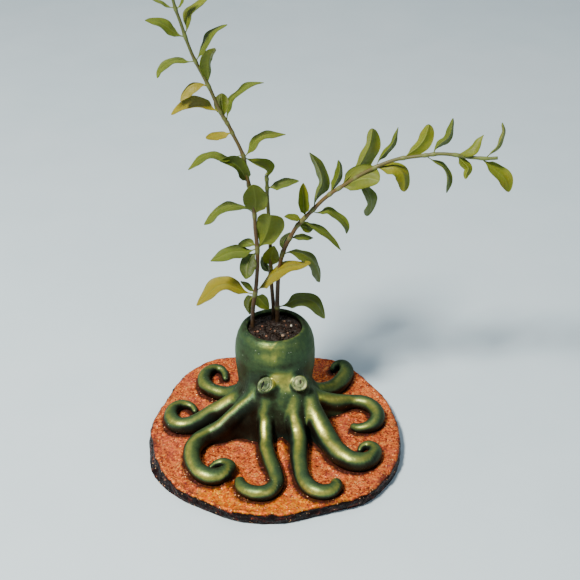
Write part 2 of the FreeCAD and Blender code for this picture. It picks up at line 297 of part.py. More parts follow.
def hull_faces(rings):
    """A closed solid of flat triangles over a row of equal rings of points."""
    faces = []

    def tri(a, b, c):
        if (b - a).cross(c - a).Length > 1e-7:
            faces.append(Part.Face(Part.makePolygon([a, b, c, a])))
    n = len(rings[0])
    for r0, r1 in zip(rings[:-1], rings[1:]):
        for i in range(n):
            j = (i + 1) % n
            tri(r0[i], r0[j], r1[j])
            tri(r0[i], r1[j], r1[i])
    for r in (rings[0], rings[-1]):
        for i in range(1, n - 1):
            tri(r[0], r[i], r[i + 1])
    solid = Part.Solid(Part.Shell(faces))
    if solid.Volume < 0:
        solid.reverse()
    return solid


# ---------------------------------------------------------------------- slab
def outline(radii, z, scale=1.0):
    pts = []
    for i, r in enumerate(radii):
        a = math.radians(-180 + SLAB_STEP_DEG * i)
        pts.append(V(r * scale * math.cos(a), r * scale * math.sin(a), z))
    curve = Part.BSplineCurve()
    curve.interpolate(pts, PeriodicFlag=True)
    return Part.Wire([curve.toShape()])


slab = Part.makeLoft([outline(SLAB_FOOT_R, 0.0, 0.985), outline(SLAB_FOOT_R, 2.0)], True, True)
slab = slab.fuse(Part.makeLoft([outline(SLAB_FOOT_R, 2.0), outline(SLAB_TOP_R, SLAB_T)], True, True))
slab = slab.removeSplitter()
keep("base_slab", biggest(slab))

# ---------------------------------------------------------------------- head
axis = V(POT_X, POT_Y, 0)
wall = Part.BSplineCurve()
wall.interpolate([V(r, 0, z) for r, z in POT_WALL[2:]])
edges = [
    Part.LineSegment(V(0, 0, SLAB_T), V(0, 0, POT_FLOOR_Z)).toShape(),
    Part.LineSegment(V(0, 0, POT_FLOOR_Z), V(ROOT_FLOOR_R, 0, POT_FLOOR_Z)).toShape(),
    Part.Arc(V(ROOT_FLOOR_R, 0, POT_FLOOR_Z),
             V(ROOT_FLOOR_R + 3 * math.sin(math.pi / 4), 0, POT_FLOOR_Z + 3 - 3 * math.cos(math.pi / 4)),
             V(POT_BORE_R, 0, POT_FLOOR_Z + 3)).toShape(),
    Part.LineSegment(V(POT_BORE_R, 0, POT_FLOOR_Z + 3), V(POT_BORE_R, 0, POT_WALL[0][1])).toShape(),
    Part.Arc(V(POT_BORE_R, 0, POT_WALL[0][1]), V(POT_WALL[1][0], 0, POT_RIM_Z),
             V(POT_WALL[2][0], 0, POT_WALL[2][1])).toShape(),
    wall.toShape(),
    Part.LineSegment(V(POT_WALL[-1][0], 0, SLAB_T), V(0, 0, SLAB_T)).toShape(),
]
profile = Part.Face(Part.Wire(edges))
mantle = profile.revolve(V(0, 0, 0), V(0, 0, 1), 360)
mantle.translate(axis)
mantle = biggest(mantle)
keep("mantle_pot", mantle)
# the head as if it were solid, to trim what is laid against it
blank = Part.makeCylinder(POT_BORE_R + 1.0, POT_RIM_Z - POT_FLOOR_Z - 1, axis + V(0, 0, POT_FLOOR_Z)).fuse(mantle)

# ---------------------------------------------------------------------- eyes
below = Part.makeBox(400, 400, 60, V(-200, -200, SLAB_T - 60))


def eye(pos, direction, radius, pupil_shape):
    pos, direction = V(*pos), unit(V(*direction))
    wide = radius + TURRET_WALL
    turret = Part.makeCone(wide + 0.6, wide, TURRET_L, pos - direction * TURRET_L, direction)
    turret = biggest(turret.cut(blank))
    disc = Part.makeCylinder(radius, EYE_H, pos, direction)
    disc = disc.makeFillet(0.4, [e for e in disc.Edges
                                 if e.Closed and abs((e.CenterOfMass - pos).dot(direction) - EYE_H) < 1e-3])
    disc = biggest(disc.cut(blank))
    pupil = pupil_shape(pos + direction * (EYE_H - PUPIL_DEPTH), direction)
    disc = biggest(disc.cut(pupil))
    return turret, disc, pupil


def slit(pos, direction):
    across = unit(direction.cross(V(0, 0, 1)))
    up = unit(direction.cross(across))
    along = unit(across * 0.64 + up * 0.77)
    pos = pos + across * 0.75 - up * 0.35
    side = unit(along.cross(direction))
    a, b = pos + along * 1.35, pos - along * 1.35
    r = 0.45
    body = Part.Face(Part.Wire([
        Part.LineSegment(a + side * r, b + side * r).toShape(),
        Part.Arc(b + side * r, b - along * r, b - side * r).toShape(),
        Part.LineSegment(b - side * r, a - side * r).toShape(),
        Part.Arc(a - side * r, a + along * r, a + side * r).toShape()]))
    return body.extrude(direction * PUPIL_DEPTH)


def dot(pos, direction):
    return Part.makeCylinder(0.85, PUPIL_DEPTH, pos, direction)


turret_l, disc_l, pupil_l = eye(EYE_L, EYE_L_DIR, EYE_L_R, slit)
turret_r, disc_r, pupil_r = eye(EYE_R_POS, EYE_R_DIR, EYE_R_R, dot)
keep("eye_turret_left", turret_l)
keep("eye_turret_right", turret_r)
keep("eye_left", disc_l)
keep("eye_right", disc_r)
keep("pupil_left", pupil_l)
keep("pupil_right", pupil_r)

# ---------------------------------------------------------------------- arms
# Each arm is trimmed by the head, the eyes, the slab and its neighbours.
solid_so_far = [blank, turret_l, turret_r, disc_l, disc_r]
arms = {}
for name, rows in ARMS.items():
    limb = tube(rows, 2 * len(rows))
    limb = limb.cut(below)
    for other in solid_so_far:
        if limb.BoundBox.intersect(other.BoundBox):
            limb = biggest(limb.cut(other))
    arms[name] = biggest(limb)
    solid_so_far.append(arms[name])
    keep(name, arms[name])

# --------------------------------------------------------------------- skirt
wires = []
for z, pts in WEB:
    curve = Part.BSplineCurve()
    curve.interpolate([V(x, y, z) for x, y in pts], PeriodicFlag=True)
    wires.append(Part.Wire([curve.toShape()]))
web = Part.makeLoft(wires, True, False)
for other in solid_so_far:
    web = web.cut(other)
keep("face_web", biggest(web))

# --------------------------------------------------------------------- soil
soil = Part.Face(Part.Wire([
    Part.LineSegment(V(0, 0, POT_FLOOR_Z), V(ROOT_FLOOR_R, 0, POT_FLOOR_Z)).toShape(),
    Part.Arc(V(ROOT_FLOOR_R, 0, POT_FLOOR_Z),
             V(ROOT_FLOOR_R + 2.7 * math.sin(math.pi / 4), 0, POT_FLOOR_Z + 2.7 - 2.7 * math.cos(math.pi / 4)),
             V(ROOT_R, 0, POT_FLOOR_Z + 2.7)).toShape(),
    Part.LineSegment(V(ROOT_R, 0, POT_FLOOR_Z + 2.7), V(ROOT_R, 0, POT_RIM_Z)).toShape(),
    Part.LineSegment(V(ROOT_R, 0, POT_RIM_Z), V(0, 0, POT_RIM_Z)).toShape(),
    Part.LineSegment(V(0, 0, POT_RIM_Z), V(0, 0, POT_FLOOR_Z)).toShape(),
])).revolve(V(0, 0, 0), V(0, 0, 1), 360)
soil.translate(axis)
# the surface slopes down to the front, then runs level to the back
y_a, y_b, y_c = POT_Y - ROOT_R - 2, POT_Y - 1.0, POT_Y + ROOT_R + 2
above = Part.Face(Part.makePolygon([
    V(-30, y_a, SOIL_FRONT_Z - 0.5), V(-30, y_b, SOIL_BACK_Z), V(-30, y_c, SOIL_BACK_Z - 0.6),
    V(-30, y_c, 80), V(-30, y_a, 80), V(-30, y_a, SOIL_FRONT_Z - 0.5)])).extrude(V(60, 0, 0))
soil = biggest(soil.cut(above))


def soil_z(y):
    if y < y_b:
        return SOIL_FRONT_Z - 0.5 + (SOIL_BACK_Z - SOIL_FRONT_Z + 0.5) * (y - y_a) / (y_b - y_a)
    return SOIL_BACK_Z - 0.6 * (y - y_b) / (y_c - y_b)


# --------------------------------------------------------------------- stems
stems = {}
for name, (r0, r1, pts) in STEMS.items():
    first = pts[0]
    rows = [(first[0], first[1], first[2] - 9.0, r0), (first[0], first[1], first[2] - 4.0, r0)]
    for i, p in enumerate(pts):
        rows.append((p[0], p[1], p[2], r0 + (r1 - r0) * i / (len(pts) - 1.0)))
    stems[name] = biggest(tube(rows, max(12, int(1.15 * len(rows))), round_tip=True, x0=V(1, 0, 0)))
for name in list(stems):
    for other in stems:
        if other < name and stems[name].BoundBox.intersect(stems[other].BoundBox):
            stems[name] = biggest(stems[name].cut(stems[other]))
    soil = biggest(soil.cut(stems[name]))
for name in stems:
    keep("stem_" + name, stems[name])
keep("root_ball", soil)

grains = []
for gx, gy, gr in GRIT:
    grain = Part.makeSphere(gr, V(gx, gy, soil_z(gy) + gr * 0.35))
    grain = grain.cut(soil)
    for s in stems.values():
        grain = grain.cut(s)
    grains.append(biggest(grain))
keep("pumice_grit", Part.makeCompound(grains))


# -------------------------------------------------------------------- leaves
def blade(t, p, q):
    if t <= 0 or t >= 1:
        return 0.0
    w = math.sin(math.pi * t ** p) ** q
    return w * min(1.0, max(0.0, (t - 0.04) / 0.22)) ** 1.2


def leaf(midrib, wl, wr, fl, fr, p, q):
    """A folded blade on a short stalk, from the stem's axis to the tip."""
    m = [V(*c) for c in catmull(midrib, LEAF_STATIONS + 4)]
    n = len(m)
    rings = []
    for i in range(n):
        t = i / (n - 1.0)
        tan = unit(m[min(i + 1, n - 1)] - m[max(i - 1, 0)])
        across = unit(tan.cross(FRONT))
        deep = unit(across.cross(tan))
        w = blade(t, p, q)
        l_dir = across * math.cos(math.radians(fl)) + deep * math.sin(math.radians(fl))
        r_dir = across * -math.cos(math.radians(fr)) + deep * math.sin(math.radians(fr))
        stalk = PETIOLE_HALF * (1.0 if t < 0.5 else 1.0 - 0.75 * (t - 0.5) / 0.5)
        hl, hr = max(w * wl, stalk), max(w * wr, stalk)
        face = unit((l_dir - r_dir).cross(tan))
        half = 0.5 * LEAF_T * (1.5 if t < 0.2 else 1.0) * (1.0 if t < 0.85 else 0.7)
        edge = half * 0.55
        left, right = m[i] + l_dir * hl, m[i] + r_dir * hr
        rings.append([left + face * edge, m[i] + face * half, right + face * edge,
                      right - face * edge, m[i] - face * half, left - face * edge])
    return hull_faces(rings)


groups = {}
for name, group, stem, midrib, wl, wr, fl, fr, p, q, tint in LEAVES:
    body = leaf(midrib, wl, wr, fl, fr, p, q)
    body = biggest(body.cut(stems[stem]))
    groups.setdefault(group, []).append((name, body))
everything = []
for group, rows in groups.items():
    shapes = []
    for name, body in rows:
        for other_name, other in everything:
            if body.BoundBox.intersect(other.BoundBox):
                shared = body.common(other)
                if shared.Volume > 1e-4:
                    print("   trims", name, "by", other_name, round(shared.Volume, 3))
                    body = biggest(body.cut(other))
        for stem_name, s in stems.items():
            if body.BoundBox.intersect(s.BoundBox) and body.common(s).Volume > 1e-4:
                print("   trims", name, "by stem", stem_name)
                body = biggest(body.cut(s))
        for s_name, s in (("mantle", mantle), ("soil", soil)):
            if body.BoundBox.intersect(s.BoundBox) and body.common(s).Volume > 1e-5:
                print("   LEAF HITS", name, s_name, body.common(s).Volume)
        everything.append((name, body))
        shapes.append(body)
    keep("leaves_" + group, Part.makeCompound(shapes))

print(len(made), "nodes")
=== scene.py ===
"""Octopus planter figurine: the finish of every visible surface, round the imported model.

Lengths in the tables are millimetres; meshes are made in metres.
"""
import bpy
import math
import numpy as np
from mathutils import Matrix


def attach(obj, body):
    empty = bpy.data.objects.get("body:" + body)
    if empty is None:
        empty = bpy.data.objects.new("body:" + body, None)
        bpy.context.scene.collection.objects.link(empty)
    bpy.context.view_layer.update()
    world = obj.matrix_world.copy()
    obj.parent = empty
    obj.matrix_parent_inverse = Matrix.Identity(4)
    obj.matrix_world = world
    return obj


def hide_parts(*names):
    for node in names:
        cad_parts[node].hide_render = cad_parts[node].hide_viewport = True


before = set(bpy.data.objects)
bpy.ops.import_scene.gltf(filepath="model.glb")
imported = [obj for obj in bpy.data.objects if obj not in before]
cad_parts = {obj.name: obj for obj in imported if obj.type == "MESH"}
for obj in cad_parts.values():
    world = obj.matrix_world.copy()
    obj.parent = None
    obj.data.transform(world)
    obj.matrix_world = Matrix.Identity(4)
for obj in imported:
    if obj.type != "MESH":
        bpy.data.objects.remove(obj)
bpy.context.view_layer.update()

MM = 0.001
rng = np.random.default_rng(20817)

# ------------------------------------------------------------------ sizes, mm
T = 6.5                       # top of the slab
POT_X, POT_Y = 0.7, 19.0
BORE_R = 13.0
POT_FLOOR_Z = 16.0
FOOT_R = [60.3, 60.3, 62.0, 61.7, 60.6, 59.7, 60.2, 60.7, 60.1, 58.9,
          59.9, 63.1, 63.1, 63.1, 62.0, 61.3, 60.9, 61.3, 61.7, 63.9,
          65.9, 64.0, 63.1, 63.4, 64.5, 66.8, 65.5, 62.0, 59.2, 59.2]
TOP_R = [59.2, 58.6, 59.4, 61.0, 61.4, 60.6, 62.2, 61.8, 61.6, 60.4,
         61.7, 64.4, 63.8, 63.2, 61.6, 60.8, 60.4, 60.8, 61.2, 63.4,
         65.4, 63.4, 62.5, 62.8, 64.0, 66.3, 65.0, 61.5, 58.7, 58.7]
POT_OUT = [(0.0, 53.4), (13.1, 53.3), (13.8, 53.7), (14.9, 53.5), (16.0, 52.7), (17.0, 51.3),
           (18.2, 48.4), (19.1, 44.5), (19.4, 40.0), (19.2, 34.0),
           (18.5, 28.0), (17.4, 22.0), (16.2, 16.0), (15.6, 10.0),
           (15.4, 5.0), (0.0, 5.0)]
EYE_L = (-3.9, -3.0, 34.4)
EYE_L_DIR = (-0.50, -0.34, 0.80)
EYE_L_R = 4.35
EYE_RT = (12.5, -2.7, 35.0)
EYE_RT_DIR = (0.05, -0.74, 0.66)
EYE_RT_R = 3.75

SLAB_T = T
ARMS = {
    "arm_back_left": [(-9.0, 16.0, 17.5, 3.6), (-13.7, 18.0, 15.6, 4.1), (-18.8, 20.2, 12.6, 4.0), (-24.0, 22.6, 10.2, 3.8), (-30.0, 25.6, 9.7, 3.7), (-34.0, 29.6, 9.6, 3.6), (-35.7, 35.0, 9.5, 3.4), (-35.2, 40.6, 9.2, 3.1), (-33.2, 44.7, 8.9, 2.7), (-30.3, 46.6, 8.6, 2.3), (-27.4, 45.8, 8.3, 2.0), (-25.4, 42.6, 8.1, 1.8), (-24.8, 38.6, 7.9, 1.6)],
    "arm_left": [(-9.6, 9.8, 20.4, 4.2), (-14.3, 8.0, 18.8, 5.1), (-18.6, 7.7, 15.6, 5.6), (-23.8, 6.2, 12.6, 5.5), (-29.2, 4.2, 11.2, 5.1), (-34.6, 0.3, 10.5, 4.6), (-39.6, -2.5, 10.2, 4.2), (-44.6, -2.9, 10.0, 3.9), (-48.3, 0.4, 9.7, 3.7), (-50.1, 6.3, 9.4, 3.4), (-49.4, 11.4, 9.1, 3.0), (-46.9, 14.7, 8.8, 2.6), (-43.6, 15.7, 8.5, 2.2), (-40.4, 14.6, 8.2, 1.9), (-38.6, 11.2, 8.0, 1.6)],
    "arm_front_left": [(-6.0, 2.8, 26.0, 3.2), (-10.1, -1.5, 24.6, 3.4), (-14.3, -3.2, 21.5, 3.7), (-19.6, -5.5, 17.0, 3.9), (-24.5, -8.3, 13.5, 4.0), (-30.1, -9.8, 10.4, 4.1), (-34.8, -14.3, 10.2, 4.1), (-37.4, -19.8, 10.2, 4.1), (-37.5, -26.3, 10.2, 4.1), (-35.7, -33.0, 10.2, 4.1), (-32.0, -38.0, 10.2, 4.1), (-27.4, -40.0, 10.1, 4.0), (-22.6, -38.7, 9.9, 3.8), (-19.8, -34.2, 9.4, 3.3), (-20.2, -30.4, 8.9, 2.8), (-22.7, -28.3, 8.5, 2.3), (-26.0, -28.8, 8.2, 1.8), (-28.6, -31.2, 7.9, 1.2)],
    "arm_centre_left": [(-3.8, -2.4, 28.0, 3.3), (-2.9, -4.9, 24.0, 3.3), (-3.1, -7.1, 18.0, 3.5), (-3.5, -12.3, 12.9, 3.7), (-3.3, -18.3, 10.2, 3.8), (-1.9, -26.9, 10.0, 3.8), (0.6, -35.0, 9.9, 3.7), (1.8, -42.2, 9.8, 3.6), (-0.1, -48.0, 9.7, 3.6), (-4.8, -51.0, 9.8, 3.6), (-10.0, -49.8, 9.6, 3.4), (-13.7, -45.9, 9.2, 3.0), (-14.7, -42.4, 8.8, 2.6)],
    "arm_centre_right": [(9.8, -0.8, 28.8, 3.3), (10.2, -4.3, 24.0, 3.7), (10.4, -8.0, 18.0, 4.2), (11.4, -12.3, 13.0, 4.4), (12.0, -20.3, 10.6, 4.3), (12.3, -30.9, 10.0, 3.9), (13.4, -39.2, 9.8, 3.6), (16.5, -46.2, 9.8, 3.6), (21.4, -49.8, 9.7, 3.5), (26.0, -49.0, 9.4, 3.2), (28.7, -46.0, 9.1, 2.9), (29.0, -43.4, 8.8, 2.6)],
    "arm_front_right": [(11.5, 5.5, 27.5, 3.6), (16.6, 0.8, 25.0, 4.0), (18.4, -2.6, 20.5, 4.6), (21.3, -7.8, 15.9, 5.0), (25.0, -13.9, 12.5, 5.1), (28.7, -21.6, 11.2, 5.0), (32.5, -26.7, 10.9, 4.8), (36.5, -29.7, 10.6, 4.6), (40.9, -30.1, 10.3, 4.3), (45.0, -27.6, 9.9, 3.8), (47.6, -22.8, 9.4, 3.2), (47.6, -18.2, 8.9, 2.7), (45.2, -15.6, 8.5, 2.2), (42.4, -16.2, 8.2, 1.8), (40.9, -18.6, 7.9, 1.4)],
    "arm_right": [(13.0, 9.0, 21.5, 3.9), (18.6, 7.5, 20.0, 4.2), (23.5, 10.0, 16.3, 4.0), (31.0, 13.0, 12.5, 3.8), (37.7, 16.6, 9.9, 3.5), (43.2, 16.4, 9.7, 3.5), (47.4, 13.9, 9.7, 3.6), (50.0, 9.4, 9.7, 3.6), (50.4, 4.2, 9.7, 3.6), (48.6, -0.4, 9.5, 3.3), (45.0, -2.8, 9.1, 2.8), (41.3, -3.0, 8.7, 2.4), (38.7, -1.6, 8.4, 2.0)],
    "arm_back_right": [(13.0, 14.0, 18.0, 3.7), (18.8, 18.0, 15.6, 4.0), (23.7, 22.0, 12.6, 4.2), (28.3, 26.6, 10.2, 4.3), (32.3, 30.8, 10.1, 4.2), (35.4, 36.4, 10.0, 4.0), (37.0, 42.6, 9.7, 3.6), (36.0, 47.8, 9.2, 3.0), (33.4, 49.8, 8.7, 2.5), (31.2, 48.6, 8.4, 2.1), (30.4, 46.4, 8.1, 1.7)],
}

# Horizontal sections of the skirt below the head: height, then the outline
# as x, y points (the face's side is -Y).
WEB = [
    (T, [(3.4, -11.2), (-6.0, -12.0), (-14.0, -9.0), (-21.0, -2.0), (-20.0, 9.0), (-17.5, 19.0), (-12.0, 31.0), (0.7, 36.0), (13.0, 32.0), (19.0, 21.0), (22.5, 10.0), (22.0, -1.0), (16.0, -9.5), (9.0, -11.8)]),
    (12.0, [(4.0, -9.9), (-5.0, -9.8), (-12.5, -7.0), (-18.0, -0.5), (-18.0, 9.0), (-16.5, 19.0), (-11.0, 30.5), (0.7, 35.2), (12.5, 31.0), (18.0, 20.5), (20.5, 10.0), (20.0, 0.5), (15.0, -7.5), (9.0, -9.8)]),
    (20.0, [(4.2, -7.5), (-3.4, -7.2), (-10.0, -5.0), (-14.8, 1.0), (-16.0, 9.5), (-15.0, 19.5), (-10.0, 29.0), (0.7, 33.5), (11.0, 30.0), (16.0, 20.0), (17.8, 10.0), (17.6, 2.0), (13.8, -4.6), (9.2, -7.0)]),
    (29.5, [(4.6, -4.8), (-0.4, -4.5), (-6.4, -2.6), (-11.0, 2.0), (-13.6, 9.5), (-13.1, 19.5), (-8.7, 27.0), (0.7, 30.6), (9.7, 27.6), (13.6, 20.0), (15.2, 10.0), (15.0, 2.8), (12.6, -2.2), (9.2, -4.5)]),
    (35.5, [(4.6, -1.3), (0.2, -0.9), (-3.6, 0.6), (-7.5, 4.0), (-10.0, 10.5), (-10.0, 19.5), (-7.0, 25.0), (0.7, 28.0), (8.0, 26.0), (11.0, 20.0), (12.8, 10.5), (13.2, 4.0), (11.8, 0.6), (9.0, -1.0)]),
    (38.5, [(4.6, 0.9), (0.6, 1.3), (-2.8, 2.8), (-6.2, 6.0), (-9.0, 11.5), (-9.2, 19.5), (-6.4, 24.6), (0.7, 27.4), (7.4, 25.4), (10.3, 20.0), (11.9, 11.5), (12.0, 6.0), (10.8, 2.8), (8.6, 1.2)]),
]


STEMS = {
    'tall': (1, 0.62, [(-9.9, 20.6, 51.3), (-9.7, 20.5, 58.3), (-9.2, 20.2, 65.2), (-8.1, 19.9, 72.6), (-7.4, 19.5,
        80.5), (-7, 19.1, 88.3), (-7, 18.6, 96.5), (-7.7, 18, 105.7), (-8, 17.5, 114.2), (-9.1, 16.9, 122.5),
        (-10.2, 16.4, 129.2), (-11.1, 15.8, 136.4), (-12.2, 15.3, 143.4), (-14.2, 14.7, 149.3), (-16.3, 14.2,
        154.2), (-18.3, 13.8, 159.1), (-21.5, 13.1, 165.4), (-25.3, 12, 175.9), (-28.1, 11.3, 182.5), (-31.5, 10.4,
        190.4), (-34.1, 9.4, 198.5), (-36.1, 8.5, 206.3), (-37.7, 7.8, 211.9), (-38.8, 7.1, 217.4), (-39.7, 6.5,
        222.5), (-40.2, 6, 226.6)]),
    'mid': (1, 0.8, [(0, 27.6, 51.3), (0, 27.3, 58.9), (-0.5, 26.9, 67.1), (-0.9, 26.4, 74.1), (-1.1, 25.8, 82.1),
        (-1.1, 25.1, 91.2), (-1.4, 24.2, 101.3), (-1.8, 23.1, 111.7), (-2.2, 22.2, 120.8), (-2.3, 21.3, 128.8),
        (-2.5, 21, 131.4)]),
    'right': (1.05, 0.72, [(2, 25, 51.3), (1.9, 24.7, 60.1), (2.1, 24.3, 68.8), (2.5, 23.8, 76.8), (3.3, 23.3,
        84.2), (4.8, 22.8, 91.5), (7.8, 22.2, 98.9), (10.6, 21.6, 104.8), (12.6, 21.3, 107.7), (15.4, 20.9, 111.2),
        (18.6, 20.4, 115.1), (22.5, 19.8, 119.9), (26.4, 19.2, 123.8), (30.2, 18.7, 126.8), (35, 18, 130.6), (39.7,
        17.3, 134.2), (44.5, 16.6, 137.3), (49.7, 15.9, 140.2), (54.9, 15.1, 142.5), (60.5, 14.4, 143.8), (66.5,
        13.5, 145), (72.6, 12.7, 146.1), (79.1, 11.7, 146.1), (84.2, 11, 145.4), (88.6, 10.3, 145.3), (92.5, 9.7,
        145.3), (97.2, 9, 145.9)]),
}
